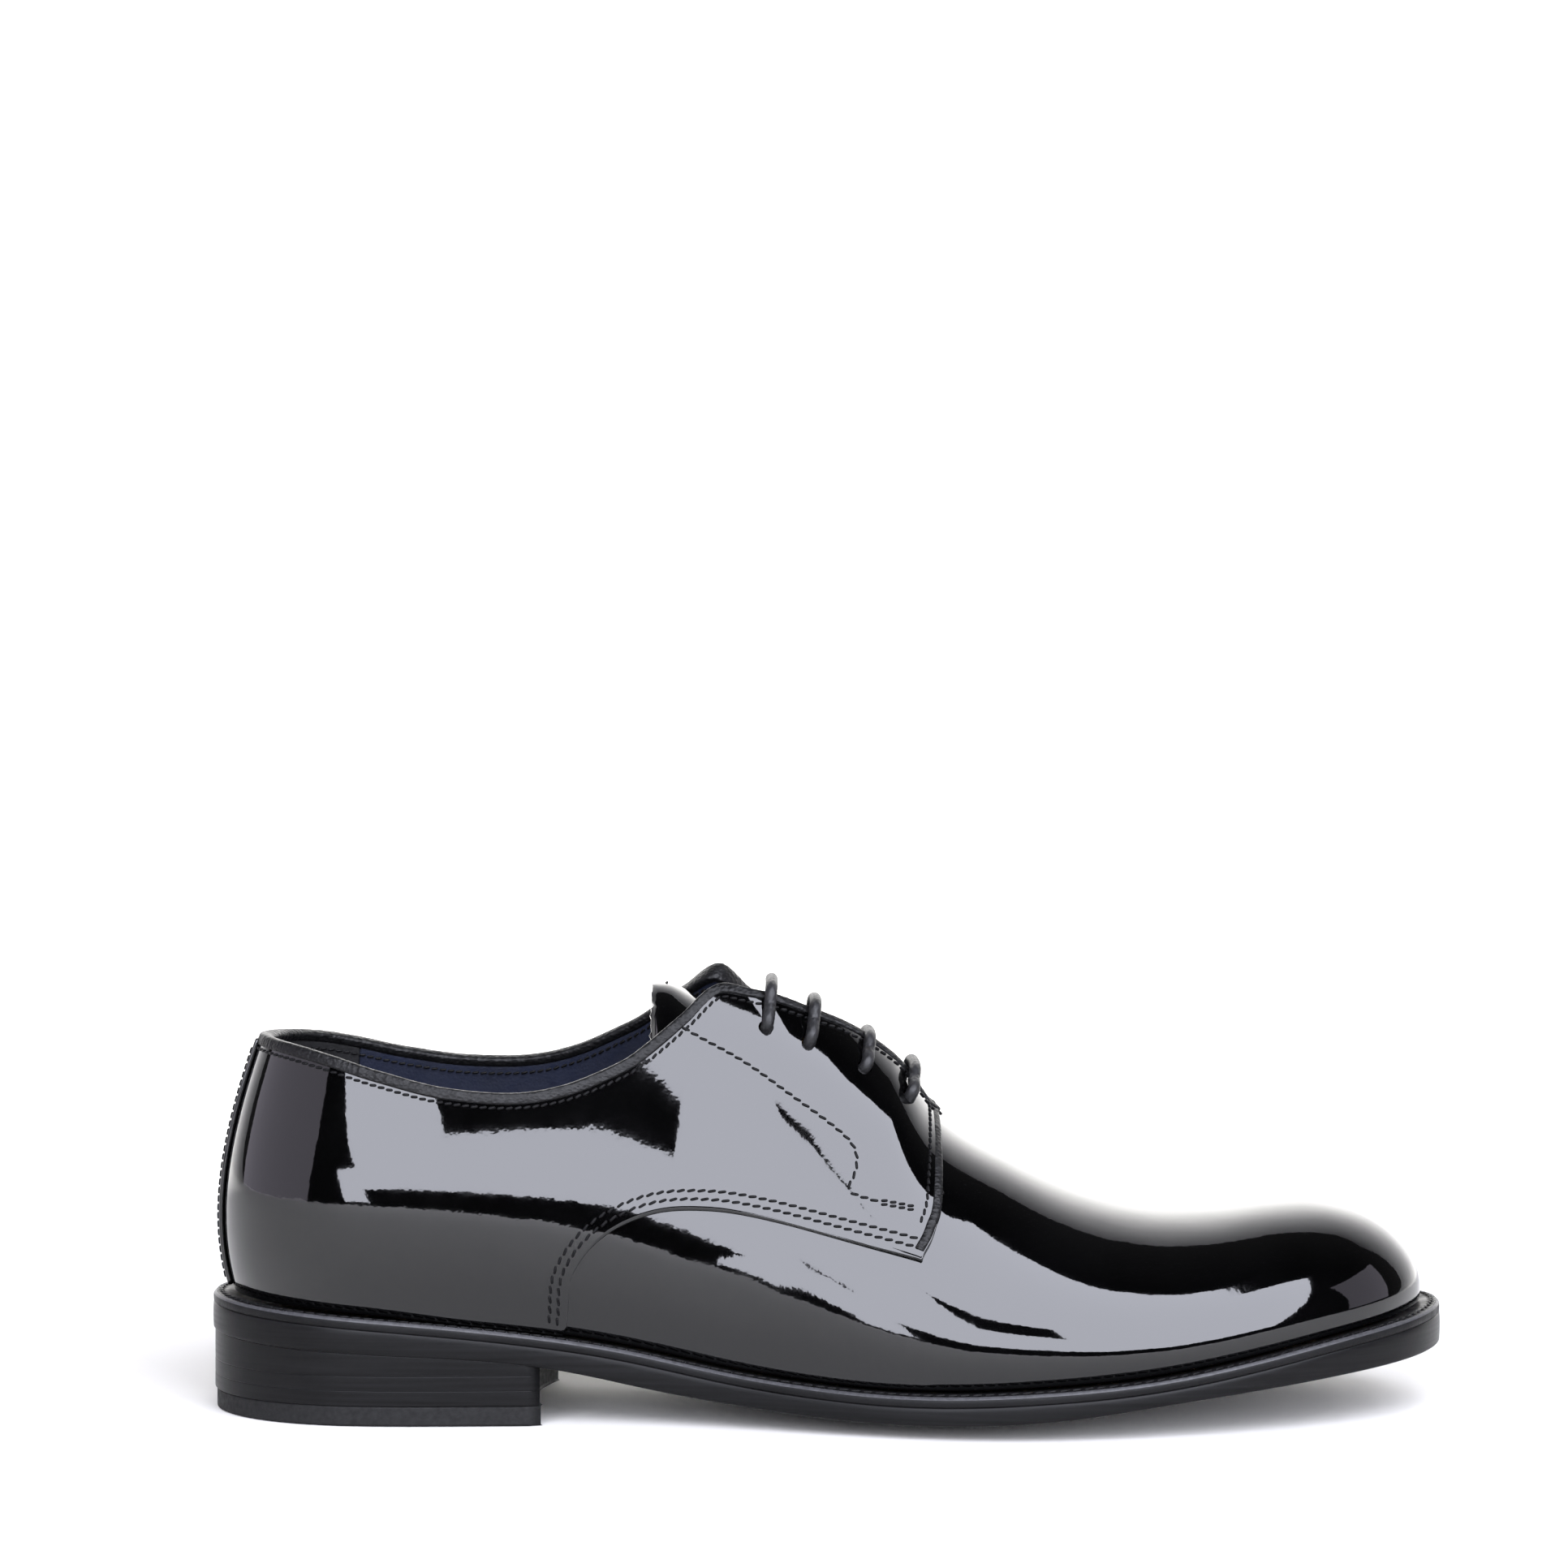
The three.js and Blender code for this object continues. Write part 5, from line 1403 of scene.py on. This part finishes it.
def tongue_surface(drop, margin=0.0, columns=110, rows=25):
    """Points of the tongue, this far below its outer face, from its front to its rear."""
    x, width = tongue_columns(margin, columns)
    free = smooth_step(-14, -28, x)[:, None, None]
    halves = []
    for side in SIDES.values():
        edge = locate(side, x, y=ridge_y(x) + side * np.minimum(width, TONGUE_WIDEST))
        middle = np.array([ridge(side, value) for value in x])
        places = between_lines(middle, edge, rows)
        held = layer_point(places, tongue_depth(spine_x(places[..., 0])) - drop)
        share = np.linspace(0, 1, rows)[None, :]
        y = ridge_y(x)[:, None] + side * width[:, None] * share
        slope = 2 * TONGUE_SAG * share / tongue_half_width(x)[:, None]
        z = tongue_top(x)[:, None] - TONGUE_SAG * share**2 - drop / np.sqrt(1 + slope**2)
        y = y - side * drop * slope / np.sqrt(1 + slope**2)
        loose = np.stack([np.repeat(x[:, None], rows, 1), y, z], -1)
        halves.append(held + (loose - held) * free)
    return np.concatenate([halves[0][:, ::-1], halves[1][:, 1:]], 1)


def add_tongue():
    rng = np.random.default_rng(3)
    top, bottom = tongue_surface(0), tongue_surface(LEATHER)
    ragged = rng.normal(0, 0.16, top.shape[1])
    for rows in (top, bottom):
        rows[-1, :, 0] += ragged
        rows[-2, :, 0] += ragged * 0.4
    mesh = joined_mesh("tongue_leather", [grid_parts(top, bottom)])
    add_piece(mesh, PATENT, ["tongue"], "tongue")
    top, bottom = (tongue_surface(drop, 1, 70, 15) for drop in (LEATHER + 0.05, TONGUE_THICKNESS))
    mesh = joined_mesh("tongue_backing", [grid_parts(top, bottom)])
    add_piece(mesh, NAVY, ["tongue_lining"], "tongue")


def rear_border(grid, first=50):
    """The border of the rear part of a grid, from one side round the end to the other."""
    return np.concatenate([grid[first:, 0], grid[-1, 1:-1], grid[first:, -1][::-1]])


def add_tongue_stitches():
    grid = tongue_surface(0, 3.2)
    normal = np.cross(np.gradient(grid, axis=1), np.gradient(grid, axis=0))
    normal = unit(np.where(normal[..., 2:] < 0, -normal, normal))
    add_stitches("tongue_stitches", [(rear_border(grid), rear_border(normal), 2.2)], "tongue")


dress_cad_nodes()
add_outsole()
add_welt()
add_heel()
add_sock()
add_vamp()
for side_name, side_sign in SIDES.items():
    add_quarter(side_name, side_sign)
add_backstay()
add_counter()
add_heel_grip()
add_binding()
add_tongue()
add_tongue_stitches()

# ---- studio ----


# ---- in metres from here on ----
FLOOR_FRONT = -3
FLOOR_HALF_WIDTH = 4
BEND_START = 1.2
BEND_RADIUS = 0.8
BACKDROP_TOP = 4


def add_floor():
    """A pale floor that curves up into a backdrop far behind."""
    profile = [(FLOOR_FRONT, 0), (BEND_START, 0)]
    for angle in np.radians(np.arange(10, 91, 10)):
        profile.append((BEND_START + BEND_RADIUS * math.sin(angle), BEND_RADIUS * (1 - math.cos(angle))))
    profile.append((BEND_START + BEND_RADIUS, BACKDROP_TOP))
    points = [(x, y, z) for y, z in profile for x in (-FLOOR_HALF_WIDTH, FLOOR_HALF_WIDTH)]
    faces = [[2 * i, 2 * i + 1, 2 * i + 3, 2 * i + 2] for i in range(len(profile) - 1)]
    mesh = bpy.data.meshes.new("floor")
    mesh.from_pydata(points, [], faces)
    mesh.shade_smooth()
    floor = bpy.data.objects.new("floor", mesh)
    bpy.context.scene.collection.objects.link(floor)
    look = Look("pale_floor", specular=0.1)
    look.colour(look.noise(2, 1), (0.63, 0.62, 0.59), (0.65, 0.64, 0.61))
    look.roughness(look.noise(3, 1), 0.75, 0.85)
    mesh.materials.append(look.material)


def add_area_light(name, place, target, size, power, colour=(1, 1, 1)):
    data = bpy.data.lights.new(name, "AREA")
    data.shape = "RECTANGLE"
    data.size, data.size_y = size
    data.energy = power
    data.color = colour
    light = bpy.data.objects.new(name, data)
    light.location = place
    light.rotation_euler = (Vector(target) - Vector(place)).to_track_quat("-Z", "Y").to_euler()
    bpy.context.scene.collection.objects.link(light)


def add_world():
    """White behind the shoe and dark on the camera's side."""
    world = bpy.data.worlds.new("studio")
    bpy.context.scene.world = world
    world.use_nodes = True
    nodes, links = world.node_tree.nodes, world.node_tree.links
    coordinates = nodes.new("ShaderNodeTexCoord")
    parts = nodes.new("ShaderNodeSeparateXYZ")
    fade = nodes.new("ShaderNodeMapRange")
    fade.inputs["From Min"].default_value = -0.1
    fade.inputs["From Max"].default_value = 0.45
    fade.inputs["To Min"].default_value = 0.02
    fade.inputs["To Max"].default_value = 1
    links.new(coordinates.outputs["Generated"], parts.inputs["Vector"])
    links.new(parts.outputs["Y"], fade.inputs["Value"])
    links.new(fade.outputs["Result"], nodes["Background"].inputs["Strength"])


SHOE_MIDDLE = (0, 0, 0.05)
COOL_WHITE = (0.87, 0.89, 1)
PALE_VIOLET = (0.9, 0.85, 1)
SOFTBOX_DISTANCE = 3
SOFTBOX_RADIANCE = 8.4
SOFTBOX_TURN = math.radians(18)  # from -Y toward +X
SOFTBOX_HEIGHT = math.radians(34)
# The softbox's panels, in its own plane: left, right, bottom and top. The gap between the first four
# leaves the dark wedge below the collar, and the last two give the reflection its uneven outline.
SOFTBOX_PANELS = [
    (-2.9, -1.35, -1.6, 1.6),
    (-1.35, 2.1, -0.26, 1.6),
    (-1.35, -0.28, -1.6, -0.72),
    (-0.28, 2.1, -1.6, -0.26),
    (0, 1.1, 1.6, 2.3),
    (-3.7, -2.9, -2, -1.1),
]


def add_softbox():
    """One large soft light before the shoe, made of panels lying in one plane."""
    level = math.cos(SOFTBOX_HEIGHT)
    right = np.array([math.cos(SOFTBOX_TURN), math.sin(SOFTBOX_TURN), 0])
    toward = np.array([right[1] * level, -right[0] * level, math.sin(SOFTBOX_HEIGHT)])
    upward = np.cross(right, -toward)
    for i, (left_edge, right_edge, low, high) in enumerate(SOFTBOX_PANELS):
        centre = right * (left_edge + right_edge) / 2 + upward * (low + high) / 2
        place = toward * SOFTBOX_DISTANCE + centre + np.array([0, 0, 0.05])
        size = (right_edge - left_edge, high - low)
        power = SOFTBOX_RADIANCE * math.pi * size[0] * size[1]
        add_area_light(f"softbox_{i}", place, place - toward, size, power, COOL_WHITE)


bpy.context.scene.view_settings.view_transform = "Standard"
add_floor()
add_world()
add_softbox()
add_area_light("backdrop", (0, 0.7, 1.1), (0, 2, 0.7), (2.6, 1.2), 100)
add_area_light("heel_fill", (-2.4, -0.5, 0.7), SHOE_MIDDLE, (3, 1.5), 16, PALE_VIOLET)
add_area_light("toe_fill", (2.3, -0.2, 0.75), SHOE_MIDDLE, (1.2, 1.4), 4.5, PALE_VIOLET)
